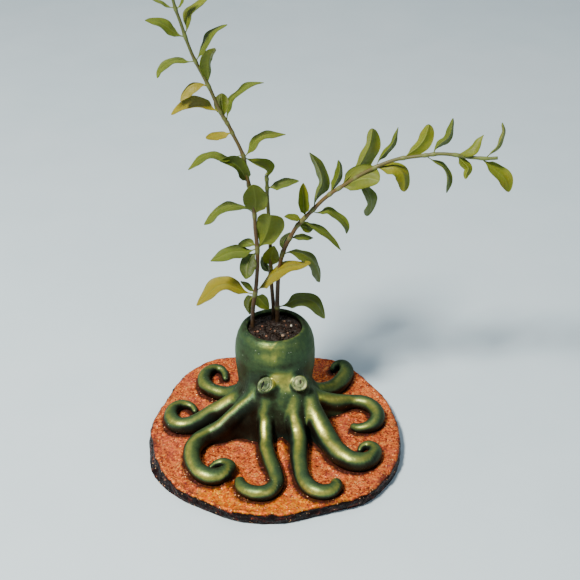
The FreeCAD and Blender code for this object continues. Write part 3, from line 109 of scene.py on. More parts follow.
LEAVES = [
    ('t1', 'tall_01', 'tall', [(-37.7, 7.8, 212.2), (-41, 8.2, 212.8), (-43, 8.7, 214), (-46.3, 9.8, 215), (-48.7,
        10.8, 216)], 2.84, 2.84, -68, 68, 1, 1, 'g'),
    ('t2', 'tall_01', 'tall', [(-37.7, 7.8, 211.9), (-36.3, 7.7, 212.9), (-35.2, 7.4, 215.1), (-34.5, 6.8, 218),
        (-33.8, 5.8, 221.6)], 2.59, 2.59, 63, -63, 1, 1, 'g'),
    ('t3', 'tall_02', 'tall', [(-34.4, 9.3, 199.8), (-37.2, 9.1, 200.6), (-39.5, 8.7, 202.3), (-42, 8.2, 204.7),
        (-44.8, 7.6, 206.4), (-47.7, 6.9, 207.2), (-50, 6.3, 207.7)], 4.26, 4.26, -55, 43, 1.15, 0.75, 'g'),
    ('t4', 'tall_02', 'tall', [(-34.6, 9.2, 200.7), (-33.6, 9.4, 203.6), (-33.3, 9.7, 206.6), (-32.5, 10, 209.5),
        (-30.2, 10.5, 211.5), (-28, 11, 213), (-26.1, 11.5, 214.4), (-23.7, 12.2, 215.7)], 4.76, 4.76, 58, -60, 1.1,
        0.8, 'o'),
    ('t5', 'tall_03', 'tall', [(-30.8, 10.5, 188.9), (-29, 10.8, 191.9), (-27.1, 11.2, 195.9), (-25.3, 11.7,
        199.4), (-22.8, 12.3, 201.6), (-20.2, 12.9, 202.7), (-17.5, 13.5, 203.5)], 4.95, 4.95, 59, -60, 1.05, 0.75,
        'g'),
    ('t7', 'tall_03', 'tall', [(-30.9, 10.5, 189.1), (-33.8, 10.3, 188.8), (-36.5, 10, 189.3), (-39.7, 9.6,
        189.4), (-42.8, 9, 188), (-45.5, 8.3, 185.6), (-46.7, 7.5, 182.9)], 4.48, 4.48, -61, 61, 1.5, 0.6, 'g'),
    ('t6', 'tall_04', 'tall', [(-26.4, 11.7, 178.6), (-25.6, 11.2, 183), (-25.5, 10.3, 187.4), (-24.9, 9.4, 191),
        (-22.8, 7.7, 195.6)], 4.24, 4.24, -34, 76, 1.15, 0.6, 'l'),
    ('t8', 'tall_04', 'tall', [(-25.9, 11.9, 177.4), (-28.8, 11.5, 178.6), (-31.6, 10.9, 178.8), (-34.3, 10.2,
        177.7), (-36.3, 9.1, 175.2), (-37.7, 7.9, 172.5)], 3.71, 3.71, -18, 63, 1.2, 0.8, 'y'),
    ('t9', 'tall_05', 'tall', [(-21.5, 13.1, 165.6), (-24.9, 13.2, 166.6), (-28.5, 13.5, 168.3), (-32.6, 13.8,
        168.8), (-37.2, 14.3, 167.3), (-42.6, 15.1, 163.4)], 5.45, 5.45, -61, 43, 1.1, 0.7, 'y'),
    ('t10', 'tall_05', 'tall', [(-18.8, 13.7, 160.2), (-18.7, 13.7, 163.2), (-18.1, 13.9, 167.4), (-16.7, 14.1,
        170.9), (-13.7, 14.4, 173.9), (-10.2, 14.8, 176.6), (-6.6, 15.2, 177.6), (-3, 15.7, 177.5)], 6.38, 6.38, 73,
        -72, 1.3, 0.7, 'g'),
    ('t11', 'tall_05', 'tall', [(-20, 13.4, 162.5), (-20.5, 14.5, 165.7), (-20.9, 16.3, 168.4), (-21, 19.4,
        171.3)], 3.5, 3.28, 12, 17, 1.3, 0.5, 'o'),
    ('t12', 'tall_06', 'tall', [(-16.8, 14.1, 155.6), (-20, 13.5, 154.7), (-23.2, 12.4, 154.6), (-27.8, 10.1,
        154.6)], 2.8, 2.8, -43, 45, 1.3, 0.5, 'y'),
    ('t13', 'tall_07', 'tall', [(-12.5, 15.2, 144.4), (-16.2, 15, 143.4), (-19.1, 14.8, 142.9), (-22, 14.5,
        143.9), (-25.3, 14.2, 145), (-28.2, 13.8, 144.9), (-31.6, 13.2, 143), (-36.3, 12.2, 138.7)], 6.27, 6.27, -71,
        70, 1.35, 0.7, 'g'),
    ('t15', 'tall_07', 'tall', [(-12.1, 15.3, 142.8), (-10.2, 15.5, 145.4), (-8.3, 15.8, 148.5), (-6, 16.2,
        151.5), (-2.7, 16.7, 153.1), (1.1, 17.3, 153.2), (6.1, 18.3, 152.7)], 5.48, 5.48, 66, -67, 1, 0.75, 'g'),
    ('t14', 'tall_06', 'tall', [(-10.2, 16.4, 129.3), (-11.8, 15.8, 133.6), (-14.2, 14.8, 138.4), (-17.4, 13.5,
        141.5), (-22.3, 11.4, 143.2)], 4.77, 4.77, -63, -50, 1.2, 0.65, 'd'),
    ('m16', 'mid_01', 'mid', [(-2.4, 21.2, 129.8), (-1.3, 20.8, 133.6), (-2.1, 20.4, 136.1), (-5.4, 19.5, 138.2),
        (-8.8, 18.4, 139.9), (-11.6, 17.2, 142)], 4.31, 4.31, -64, 45, 0.7, 1.3, 'l'),
    ('m17', 'mid_01', 'mid', [(-2.3, 21.7, 125), (0.4, 21.9, 125.8), (3.8, 22.3, 127.3), (7.7, 22.9, 128.1), (12,
        23.7, 127.6)], 3.53, 3.53, 53, -45, 0.9, 0.7, 'g'),
    ('t18', 'tall_08', 'tall', [(-7.9, 17.6, 112.9), (-7.3, 16.4, 118.4), (-7.4, 14.7, 123.6), (-8.2, 10.6,
        132.4)], 5.62, 5.62, -17, -13, 1.2, 0.5, 'o'),
    ('t19', 'tall_08', 'tall', [(-8, 17.5, 114.4), (-11.5, 17.5, 117.2), (-15.3, 17.5, 118.1), (-19.6, 17.5,
        118.5), (-23.8, 17.5, 116.5), (-27.5, 17.5, 112.7), (-30.8, 17.5, 108.8)], 6.5, 6.5, -66, 64, 1.35, 0.75,
        'g'),
    ('t20', 'tall_09', 'tall', [(-7, 18.7, 95.3), (-5, 17.9, 98.9), (-3, 16.3, 103.7), (-1.4, 13.6, 110.1), (-0.3,
        9.7, 117.8)], 6.14, 6.74, 13, 19, 1.75, 0.36, 'o'),
    ('t21', 'tall_09', 'tall', [(-7, 18.7, 95.6), (-11, 18.3, 94.4), (-14.4, 17.9, 94.5), (-18.3, 17.3, 94.5),
        (-22.2, 16.4, 93.5), (-25.7, 15.5, 92.1), (-28.3, 14.7, 91.3)], 5.27, 5.27, -56, 51, 1.05, 0.8, 'g'),
    ('t22', 'tall_09', 'tall', [(-7, 18.6, 96.8), (-9.5, 19.4, 97.8), (-12.1, 20.8, 97.7), (-15.8, 23.6, 95.4)],
        2.56, 2.56, -35, 34, 1, 0.8, 'g'),
    ('t23', 'tall_09', 'tall', [(-7, 18.8, 94), (-10.2, 17.2, 91.3), (-11.6, 15, 88.6), (-11.9, 12.2, 86.1),
        (-12.1, 9.8, 84.7)], 4.25, 3.54, -12, -17, 1.1, 0.6, 'd'),
    ('t24', 'tall_10', 'tall', [(-8.3, 19.9, 71.3), (-11.1, 20.9, 73.1), (-12.9, 22.2, 74.4), (-15.2, 23.9,
        74.9)], 2.11, 2.11, -50, 50, 1, 0.8, 'g'),
    ('t25', 'tall_10', 'tall', [(-8.5, 20, 70.1), (-13, 19.8, 71.5), (-17.4, 19.5, 74.1), (-21.9, 19.1, 76.1),
        (-26.4, 18.7, 74.9), (-31, 17.9, 70.6), (-35.9, 17, 65.9)], 7.67, 7.67, -66, 61, 1.25, 0.7, 'y'),
    ('t26', 'tall_10', 'tall', [(-8.3, 19.9, 71.4), (-4.4, 19.4, 75.9), (-0.3, 18.5, 81.2), (3.7, 17.4, 85), (8.6,
        16, 87.8), (13.1, 14.6, 89.2), (17.4, 12.9, 91.2)], 8.01, 8.01, 66, -64, 1.15, 0.65, 'y'),
    ('t29', 'tall_10', 'tall', [(-8.5, 20, 69.8), (-10.9, 20.8, 66.3), (-11.6, 22.1, 61.7), (-11.3, 24, 56.4)],
        3.47, 3.47, 20, 44, 0.95, 0.7, 'l'),
    ('t30', 'tall_10', 'tall', [(-8.5, 20, 70), (-6, 20.6, 66.9), (-4, 21.6, 63.5), (-2.1, 23, 60.1)], 3.22, 3.51,
        16, 12, 1, 0.65, 'l'),
    ('m30', 'mid_02', 'mid', [(-1.1, 25.9, 81.1), (-0.8, 25.2, 84.6), (-0.5, 23.9, 89), (0.7, 20.9, 95.8)], 4.31,
        3.83, -17, -13, 1, 0.7, 'o'),
    ('m31', 'mid_02', 'mid', [(-1, 26.1, 77.8), (-3.5, 27.3, 80.3), (-4.8, 29, 82.4), (-5.3, 31.1, 84.3)], 2.26,
        2.26, 48, 42, 1, 0.8, 'd'),
    ('r27', 'right_01', 'right', [(4.5, 22.9, 89.8), (7.7, 23.1, 91.3), (11.6, 23.4, 90.7), (15.9, 23.8, 88.4),
        (19.2, 24.4, 84.6), (21.3, 25.1, 79.2), (22.1, 25.9, 73.4)], 6.86, 6.86, 66, -63, 1.05, 0.7, 'g'),
    ('r28', 'right_01', 'right', [(1.9, 24.7, 60), (6.6, 24.4, 61.7), (11.2, 24.1, 64.7), (15.8, 23.6, 65), (19.9,
        23, 63.2), (22.4, 22.5, 60), (24.6, 21.7, 55.6)], 6.75, 6.75, 60, -63, 1.25, 0.65, 'g'),
    ('r19', 'right_02', 'right', [(8, 22.1, 99.3), (11.3, 22.8, 99.3), (14.8, 24.1, 98.8), (18.6, 26.1, 97.1)],
        2.77, 2.77, 52, -58, 1, 0.8, 'g'),
    ('r21', 'right_02', 'right', [(4.8, 22.8, 91.5), (4.9, 24.1, 95), (6, 25.8, 97.1), (8.2, 28.8, 98.5)], 2.5,
        2.5, 33, 51, 1, 0.8, 'd'),
    ('r17', 'right_03', 'right', [(13.5, 21.2, 108.8), (17.4, 20.8, 106.7), (21.3, 20.2, 104.6), (24.7, 19.5,
        102.5), (28.2, 18.4, 99.1), (31.3, 17.2, 95.6)], 5.35, 5.35, 68, -67, 0.85, 0.8, 'g'),
    ('r18', 'right_03', 'right', [(13.5, 21.2, 108.8), (11.4, 20.7, 110.4), (8.5, 19.7, 111.4), (5.5, 18.2,
        112.4)], 2.21, 2.21, -46, 41, 1, 0.7, 'o'),
    ('r20', 'right_03', 'right', [(11.7, 21.4, 106.4), (13.8, 22.3, 105.4), (16.3, 23.9, 104), (18.8, 26.4,
        101.9)], 2.36, 2.83, 10, -11, 1, 0.8, 'o'),
    ('r1', 'right_04', 'right', [(15, 21, 110.6), (14.3, 20.6, 114.9), (14, 20, 119.4), (13.8, 19.2, 124), (13.9,
        18, 129.5)], 4.51, 4.51, -54, -54, 1.35, 0.42, 'l'),
    ('r2', 'right_04', 'right', [(18.7, 20.4, 115.2), (19.2, 20.6, 119.1), (20.4, 20.8, 123.2), (22.1, 21.2,
        127.2), (22, 21.6, 131.1), (20.3, 22.2, 135.8), (18.4, 22.8, 139.2), (16.6, 23.4, 141.6)], 6.7, 6.7, 72, 63,
        0.95, 0.75, 'g'),
    ('r16', 'right_04', 'right', [(18.2, 20.5, 114.6), (19.3, 20.4, 113.4), (22.2, 20.1, 113.5), (25.1, 19.7,
        114.4), (28.1, 19.1, 112.6), (31.4, 18.2, 110.2), (33.4, 17.3, 107.6), (33.7, 16.5, 104.7)], 5.12, 5.12, 64,
        -70, 1.35, 0.6, 'g'),
    ('r3', 'right_05', 'right', [(25.8, 19.3, 123.2), (27.4, 19.7, 127), (28.8, 20.2, 130), (29.8, 20.8, 132.9),
        (30, 21.5, 135.7), (29.4, 22.3, 138.5)], 3.87, 3.87, 56, 58, 0.95, 0.7, 'g'),
    ('r4', 'right_05', 'right', [(29.5, 18.8, 126.2), (33.5, 18, 128.8), (37.9, 16.5, 131.7), (42.2, 14.6, 133.3),
        (47.1, 11.8, 133.6)], 6.45, 4.91, 10, -17, 1.4, 0.48, 'o'),
    ('r5', 'right_05', 'right', [(30.1, 18.7, 126.7), (34.3, 19.2, 132.1), (38.3, 20, 136.9), (41, 21, 141.9),
        (43, 22, 146.7), (44, 23.7, 153.1)], 7.26, 7.26, 69, 47, 1.7, 0.5, 'l'),
    ('r6', 'right_05', 'right', [(36.9, 17.7, 132.1), (39.7, 18.2, 128.2), (42.3, 18.8, 124.7), (44.1, 19.6,
        120.6), (44.4, 20.5, 116.4), (43.8, 21.7, 111.3)], 5.48, 5.48, 58, -59, 1.55, 0.5, 'g'),
    ('r7', 'right_06', 'right', [(45.5, 16.5, 137.9), (47.1, 16.9, 141.5), (49.5, 17.6, 144.5), (52, 18.5, 147.2),
        (53.6, 19.6, 150.1), (55, 21.5, 154.7)], 4.77, 4.77, 79, 78, 1, 0.7, 'g'),
    ('r8', 'right_06', 'right', [(44.9, 16.6, 137.6), (49.6, 16, 137.8), (53.7, 15.3, 138.4), (57, 14.4, 136.5),
        (58.3, 13.2, 132.9), (58.1, 11.6, 128.4)], 5.08, 5.08, 46, -39, 1.35, 0.5, 'l'),
    ('r9', 'right_07', 'right', [(57.2, 14.8, 143), (60.3, 15.2, 145.6), (63.5, 15.9, 148.1), (66.2, 17, 151.7),
        (68, 18.8, 157.2)], 4.45, 4.45, 64, 23, 1.55, 0.48, 'l'),
    ('r10', 'right_07', 'right', [(69.9, 13, 145.6), (70.9, 13.3, 148.6), (73.1, 13.6, 150.9), (75.5, 14.1,
        152.7), (77, 14.7, 155.7), (77.7, 16, 161.2)], 4.35, 4.35, 67, 63, 1, 0.7, 'g'),
    ('r11', 'right_07', 'right', [(66.5, 13.5, 145), (70.6, 13.2, 142.2), (74.4, 12.8, 140.4), (76.6, 12.2,
        137.1), (77.4, 11.5, 132.8), (76.6, 10.5, 128.4)], 5.21, 5.21, 72, -72, 1.5, 0.6, 'g'),
    ('r12', 'right_08', 'right', [(79.2, 11.7, 146), (82.6, 12.2, 146.8), (85.6, 12.8, 147.8), (87.4, 13.5,
        149.7), (89, 14.5, 152), (91.3, 15.7, 153.6)], 3.66, 3.66, 78, -34, 0.95, 0.9, 'l'),
    ('r13', 'right_08', 'right', [(80, 11.6, 145.9), (82.7, 10.7, 143.2), (84.9, 9.3, 140.9), (84, 7.9, 138.7),
        (83.7, 6.6, 137.1)], 2.88, 2.88, 37, 60, 0.9, 0.6, 'l'),
    ('r14', 'right_09', 'right', [(91.9, 9.8, 145.3), (94.3, 10.2, 147.8), (96.7, 10.7, 150.3), (98.2, 11.5,
        153.2), (99.2, 12.5, 156.7), (98.5, 13.8, 160.2)], 4.22, 4.22, 81, 63, 1.35, 0.7, 'l'),
    ('r15', 'right_09', 'right', [(90.3, 10, 145.3), (93.8, 9.6, 142.2), (97.6, 8.8, 139.3), (101, 7.7, 136.2),
        (103, 6, 131.2)], 4.66, 4.66, 29, -49, 1.55, 0.55, 'l'),
]


# Grains of pumice lying on the soil: x, y, radius
GRIT = [(4.6, 13.8, 0.8), (-3.2, 13.6, 0.6), (7.0, 15.4, 0.55), (-7.4, 16.2, 0.6),
        (0.9, 16.6, 0.5), (8.6, 20.6, 0.6), (-5.2, 20.0, 0.5), (5.4, 24.8, 0.55)]

# ------------------------------------------------------------- curve helpers
def catmull(points, n):
    """n rows, evenly spread along a smooth curve through the given rows."""
    P = np.asarray(points, float)
    d = np.r_[0, np.cumsum(np.linalg.norm(np.diff(P[:, :3], axis=0), axis=1))]
    E = np.vstack([2 * P[0] - P[1], P, 2 * P[-1] - P[-2]])
    t = np.linspace(0, d[-1], n)
    i = np.clip(np.searchsorted(d, t, side="right") - 1, 0, len(P) - 2)
    u = ((t - d[i]) / (d[i + 1] - d[i]))[:, None]
    a, b, c, e = E[i], E[i + 1], E[i + 2], E[i + 3]
    return 0.5 * (2 * b + (c - a) * u + (2 * a - 5 * b + 4 * c - e) * u * u
                  + (3 * b - a - 3 * c + e) * u ** 3)


def unit(v):
    v = np.asarray(v, float)
    return v / np.maximum(np.linalg.norm(v, axis=-1, keepdims=True), 1e-12)


def smooth_min(a, b, k):
    h = np.clip(0.5 + 0.5 * (b - a) / k, 0, 1)
    return b + (a - b) * h - k * h * (1 - h)


def smooth_max(a, b, k):
    return -smooth_min(-a, -b, k)


def lattice(p, scale, seed):
    """Smooth value noise in -1..1 at points p (n, 3)."""
    q = np.asarray(p, float) / scale
    i = np.floor(q).astype(np.int64)
    f = q - i
    f = f * f * (3 - 2 * f)

    def h(x, y, z):
        n = (x * 374761393 + y * 668265263 + z * 2147483647 + seed * 144665) & 0xFFFFFFFF
        n = ((n ^ (n >> 13)) * 1274126177) & 0xFFFFFFFF
        n = n ^ (n >> 16)
        return (n & 0xFFFF) / 32767.5 - 1.0
    out = 0.0
    for dx in (0, 1):
        for dy in (0, 1):
            for dz in (0, 1):
                w = (f[:, 0] if dx else 1 - f[:, 0]) * (f[:, 1] if dy else 1 - f[:, 1]) * (f[:, 2] if dz else 1 - f[:, 2])
                out = out + w * h(i[:, 0] + dx, i[:, 1] + dy, i[:, 2] + dz)
    return out


# --------------------------------------------------------- distance fields, mm
def chain(p, rows):
    """Distance to a limb of round cones along rows (x, y, z, r)."""
    best = np.full(len(p), 1e3)
    for a, b in zip(rows[:-1], rows[1:]):
        ab = b[:3] - a[:3]
        t = np.clip(((p - a[:3]) @ ab) / max(ab @ ab, 1e-9), 0, 1)
        d = np.linalg.norm(p - a[:3] - t[:, None] * ab, axis=1) - (a[3] + t * (b[3] - a[3]))
        best = np.minimum(best, d)
    return best


def curtain(p, rows, width):
    """The wall that stands under a limb where it runs down from the head."""
    best = np.full(len(p), 1e3)
    for a, b in zip(rows[:-1], rows[1:]):
        if min(a[2], b[2]) < T + 1.05 * a[3]:
            continue
        ab = b[:2] - a[:2]
        t = np.clip(((p[:, :2] - a[:2]) @ ab) / max(ab @ ab, 1e-9), 0, 1)
        z = a[2] + t * (b[2] - a[2])
        r = a[3] + t * (b[3] - a[3])
        drop = np.clip((z - p[:, 2]) / 12.0, 0, 1)
        d = np.linalg.norm(p[:, :2] - a[:2] - t[:, None] * ab, axis=1) - r * (width + 0.25 * drop)
        best = np.minimum(best, np.maximum(d, p[:, 2] - z))
    return best


def revolve(p, poly):
    """Distance to a solid of revolution about the head's axis."""
    r = np.hypot(p[:, 0] - POT_X, p[:, 1] - POT_Y)
    q = np.stack([r, p[:, 2]], 1)
    best = np.full(len(q), 1e9)
    sign = np.ones(len(q))
    V = np.asarray(poly, float)
    for i in range(len(V)):
        a, b = V[i], V[i - 1]
        e = b - a
        w = q - a
        t = np.clip((w @ e) / max(e @ e, 1e-9), 0, 1)
        best = np.minimum(best, ((w - t[:, None] * e) ** 2).sum(1))
        c1, c2 = q[:, 1] >= a[1], q[:, 1] < b[1]
        c3 = e[0] * w[:, 1] > e[1] * w[:, 0]
        flip = (c1 & c2 & c3) | (~c1 & ~c2 & ~c3)
        sign[flip] *= -1
    return sign * np.sqrt(best)


web_z = np.array([z for z, _ in WEB])
web_th = np.linspace(-math.pi, math.pi, 73)
web_r = []
for _, pts in WEB:
    q = np.array(pts) - (POT_X, POT_Y)
    th, rr = np.arctan2(q[:, 1], q[:, 0]), np.hypot(q[:, 0], q[:, 1])
    o = np.argsort(th)
    th, rr = th[o], rr[o]
    th3, rr3 = np.r_[th - 2 * math.pi, th, th + 2 * math.pi], np.r_[rr, rr, rr]
    web_r.append(np.interp(web_th, th3, rr3))
web_r = np.array(web_r)


def skirt(p):
    """Distance to the skirt below the head."""
    dx, dy = p[:, 0] - POT_X, p[:, 1] - POT_Y
    th, r = np.arctan2(dy, dx), np.hypot(dx, dy)
    ti = (th + math.pi) / (2 * math.pi) * 72
    t0 = np.clip(np.floor(ti).astype(int), 0, 71)
    tf = ti - t0
    tf = tf * tf * (3 - 2 * tf)
    zi = np.interp(p[:, 2], web_z, np.arange(len(web_z)))
    z0 = np.clip(np.floor(zi).astype(int), 0, len(web_z) - 2)
    zf = zi - z0
    R = ((web_r[z0, t0] * (1 - tf) + web_r[z0, t0 + 1] * tf) * (1 - zf)
         + (web_r[z0 + 1, t0] * (1 - tf) + web_r[z0 + 1, t0 + 1] * tf) * zf)
    return np.maximum((r - R) * 0.82, p[:, 2] - web_z[-1])


def peg(p, pos, direction, r, deep):
    """Distance to a round peg that ends flat at pos, widening a little below."""
    dd = unit(direction)
    h = (p - np.array(pos)) @ dd
    side = np.linalg.norm((p - np.array(pos)) - h[:, None] * dd, axis=1)
    e = 0.7
    x = side - (r - e) - 0.06 * np.clip(-h, 0, deep)
    y = np.abs(h + deep * 0.5) - (deep * 0.5 - e)
    return np.hypot(np.maximum(x, 0), np.maximum(y, 0)) + np.minimum(np.maximum(x, y), 0) - e


def brow(p):
    """Distance to the sloping shelf between the eyes and the panel that runs down from it."""
    x, y, z = p[:, 0], p[:, 1], p[:, 2]
    line = np.interp(z, [7.0, 13.0, 29.6, 30.8, 37.2, 42.0], [-11.2, -10.0, -5.6, -4.9, 0.4, 5.0])
    front = (line - y) * np.interp(z, [7.0, 28.5, 31.5, 42.0], [0.95, 0.95, 0.78, 0.74])
    mid = np.interp(z, [9.0, 20.0, 31.0], [4.3, 4.0, 4.6])
    half = np.interp(z, [9.0, 18.0, 29.0, 31.5, 38.0], [2.9, 3.2, 3.8, 5.0, 5.2])
    bow = 1.0 * ((x - mid) / half) ** 2 * np.interp(z, [28.0, 31.5], [1.0, 0.45])
    d = smooth_max(front + bow, (np.abs(x - mid) - half) * 0.9, 1.2)
    return np.maximum(d, z - 38.6)


ARM_ROWS = {n: catmull(rows, 64) for n, rows in ARMS.items()}
PIECES = ["mantle_pot", "face_web", "eye_turret_left", "eye_turret_right"] + list(ARMS)


def body_field(p):
    """The octopus's smooth surface, and each piece's own distance."""
    n = len(p)
    own = np.full((len(PIECES), n), 40.0)
    wob = 0.22 * lattice(p, 9.0, 1) + 0.10 * lattice(p, 4.0, 2)
    own[0] = revolve(p, POT_OUT)
    low = p[:, 2] < 44
    own[1][low] = skirt(p[low])
    eyes = [(EYE_L, EYE_L_DIR, EYE_L_R + 0.15), (EYE_RT, EYE_RT_DIR, EYE_RT_R + 0.15)]
    for k, (pos, direction, r) in enumerate(eyes):
        near = np.abs(p - np.array(pos)).max(1) < 24
        own[2 + k][near] = peg(p[near], pos, direction, r, 9.0)
    F = smooth_min(own[0], own[1], 4.0)
    near = np.abs(p - (4.5, -4.0, 24.0)).max(1) < 24
    if near.any():
        F[near] = smooth_min(F[near], brow(p[near]), 1.3)
    for k in (2, 3):
        F = smooth_min(F, own[k], 0.9)
    for k, (name, rows) in enumerate(ARM_ROWS.items()):
        lo, hi = rows[:, :3].min(0) - 10, rows[:, :3].max(0) + 10
        lo[2] = -1e3
        near = ((p > lo) & (p < hi)).all(1)
        if not near.any():
            continue
        q = p[near]
        d = chain(q, rows)
        root = rows[:, 2] > T + rows[:, 3] * 1.02
        if root.sum() > 2:
            d = smooth_min(d, curtain(q, rows[:root.sum() + 1], CURTAIN.get(name, 0.7)), 1.6)
        own[4 + k][near] = d
        # the limbs flow into the skirt near the head and stand free further out
        F[near] = smooth_min(F[near], d, ARM_BLEND.get(name, 2.6) + ROOT_BLEND.get(name, 1.6) * np.clip((q[:, 2] - 13.0) / 8.0, 0, 1))
    bore = np.hypot(p[:, 0] - POT_X, p[:, 1] - POT_Y) - BORE_R
    bore = np.maximum(bore, (POT_FLOOR_Z + 1.0) - p[:, 2])
    F = F + wob * np.clip((bore - 0.3) / 2.0, 0, 1)
    F = smooth_max(F, -bore, 0.9)
    F = np.maximum(F, (T - 1.2) - p[:, 2])
    # the eyes are let into flats on the turrets
    for pos, direction, r in eyes:
        dd = unit(direction)
        h = (p - np.array(pos)) @ dd
        side = np.linalg.norm((p - np.array(pos)) - h[:, None] * dd, axis=1)
        pocket = np.maximum(np.maximum(side - (r - 0.35), -h - 0.35), h - 6)
        F = smooth_max(F, -pocket, 0.35)
    return F, own


CURTAIN = {"arm_front_left": 0.80, "arm_left": 0.7, "arm_centre_left": 0.75, "arm_centre_right": 0.75,
           "arm_front_right": 0.6}
ARM_BLEND = {"arm_centre_left": 2.0, "arm_centre_right": 2.0}
ROOT_BLEND = {"arm_centre_left": 0.6, "arm_centre_right": 0.6, "arm_back_left": 3.2, "arm_back_right": 3.2,
              "arm_left": 3.0, "arm_right": 2.6, "arm_front_left": 2.4, "arm_front_right": 1.6}


# ------------------------------------------------------------ shared surface
STEP = 0.5
lo = np.array([-57.0, -60.0, 4.6])
hi = np.array([58.0, 57.5, 55.2])
dims = np.ceil((hi - lo) / STEP).astype(int) + 1
ax = [lo[i] + STEP * np.arange(dims[i]) for i in range(3)]
F = np.empty(dims, np.float32)
L = np.zeros(dims, np.int8)
bias = np.zeros(len(PIECES))
bias[1] = 1.2        # the skirt gives way to the limbs and the head
bias[2] = bias[3] = -0.4
for i in range(dims[0]):
    yy, zz = np.meshgrid(ax[1], ax[2], indexing="ij")
    p = np.stack([np.full(yy.size, ax[0][i]), yy.ravel(), zz.ravel()], 1)
    f, own = body_field(p)
    F[i] = f.reshape(yy.shape)
    L[i] = ((own + bias[:, None]).argmin(0) + 1).reshape(yy.shape)
L[F > 0] = 0
grad = [g.astype(np.float32) for g in np.gradient(F, STEP)]


def sample(grid, p):
    """A grid's value at points p, trilinear."""
    q = (p - lo) / STEP
    i = np.clip(np.floor(q).astype(int), 0, dims - 2)
    f = q - i
    out = 0.0
    for dx in (0, 1):
        for dy in (0, 1):
            for dz in (0, 1):
                w = (f[:, 0] if dx else 1 - f[:, 0]) * (f[:, 1] if dy else 1 - f[:, 1]) * (f[:, 2] if dz else 1 - f[:, 2])
                out = out + w * grid[i[:, 0] + dx, i[:, 1] + dy, i[:, 2] + dz]
    return out


def slope(p):
    return unit(np.stack([sample(g, p) for g in grad], 1))


def shared_surface():
    """One vertex per cell that holds two labels, and one quad per edge that does."""
    nx, ny, nz = dims
    mixed = np.zeros((nx - 1, ny - 1, nz - 1), bool)
    base = L[:-1, :-1, :-1]
    outside = base == 0
    for dx in (0, 1):
        for dy in (0, 1):
            for dz in (0, 1):
                c = L[dx:nx - 1 + dx, dy:ny - 1 + dy, dz:nz - 1 + dz]
                mixed |= c != base
                outside = outside | (c == 0)
    ids = -np.ones(mixed.shape, np.int64)
    cells = np.argwhere(mixed)
    ids[mixed] = np.arange(len(cells))
    outer = outside[mixed]
    total = np.zeros((len(cells), 3))
    count = np.zeros(len(cells))
    quads, sides = [], []
    for a in range(3):
        sl0 = [slice(None)] * 3
        sl1 = [slice(None)] * 3
        sl0[a], sl1[a] = slice(0, -1), slice(1, None)
        A, B = L[tuple(sl0)], L[tuple(sl1)]
        fa, fb = F[tuple(sl0)], F[tuple(sl1)]
        e = np.argwhere(A != B)
        b, c = (a + 1) % 3, (a + 2) % 3
        inner = (e[:, b] > 0) & (e[:, c] > 0) & (e[:, b] < dims[b] - 1) & (e[:, c] < dims[c] - 1)
        e = e[inner]
        la, lb = A[tuple(e.T)], B[tuple(e.T)]
        va, vb = fa[tuple(e.T)], fb[tuple(e.T)]
        t = np.where((la == 0) | (lb == 0), va / np.where(np.abs(va - vb) < 1e-9, 1, va - vb), 0.5)
        pos = lo + STEP * e.astype(float)
        pos[:, a] += STEP * np.clip(t, 0, 1)
        around = []
        for db, dc in ((1, 1), (0, 1), (0, 0), (1, 0)):
            k = e.copy()
            k[:, b] -= db
            k[:, c] -= dc
            v = ids[tuple(k.T)]
            around.append(v)
            np.add.at(total, v, pos)
            np.add.at(count, v, 1)
        quads.append(np.stack(around, 1))
        sides.append(np.stack([la, lb], 1))
    P = total / np.maximum(count, 1)[:, None]
    for _ in range(4):
        q = P[outer]
        g = np.stack([sample(k, q) for k in grad], 1)
        g2 = np.maximum((g ** 2).sum(1), 0.15)
        P[outer] = q - np.clip(sample(F, q) / g2, -STEP, STEP)[:, None] * g
    return P, outer, np.concatenate(quads), np.concatenate(sides)


def unpinch(rounds=16):
    """Relabels the few samples where a piece would touch itself along an edge only."""
    for r in range(rounds):
        found = 0
        for a, b in ((0, 1), (0, 2), (1, 2)):
            corner = {}
            for i in (0, 1):
                for j in (0, 1):
                    sl = [slice(None)] * 3
                    sl[a], sl[b] = slice(i, int(dims[a]) - 1 + i), slice(j, int(dims[b]) - 1 + j)
                    corner[i, j] = L[tuple(sl)]
            for p, q, u, v in (((0, 0), (1, 1), (1, 0), (0, 1)), ((1, 0), (0, 1), (0, 0), (1, 1))):
                same = (corner[p] == corner[q]) & (corner[p] != 0)
                for cell in np.argwhere(same & (corner[p] != corner[u]) & (corner[p] != corner[v])):
                    at = {}
                    for c in (p, q, u, v):
                        k = cell.copy()
                        k[a] += c[0]
                        k[b] += c[1]
                        at[c] = tuple(k)
                    own = L[at[p]]
                    if L[at[q]] != own or own == 0 or L[at[u]] == own or L[at[v]] == own:
                        continue
                    found += 1
                    pair = (u, v) if r % 2 == 0 else (v, u)
                    inside = [c for c in pair if L[at[c]] != 0]
                    L[at[inside[0] if inside else min(pair, key=lambda c: F[at[c]])]] = own
        if not found:
            break
    return found


unpinch()
P_all, outer_all, Q_all, S_all = shared_surface()
N_all = slope(P_all)
# how open the surface is round each point, used below to paint shade into hollows
open_all = np.clip(sample(F, np.clip(P_all + N_all * 2.4, lo, hi - 1e-3)) / 2.4, -0.2, 1.0)
open_far = np.clip(sample(F, np.clip(P_all + N_all * 6.0, lo, hi - 1e-3)) / 6.0, -0.2, 1.0)


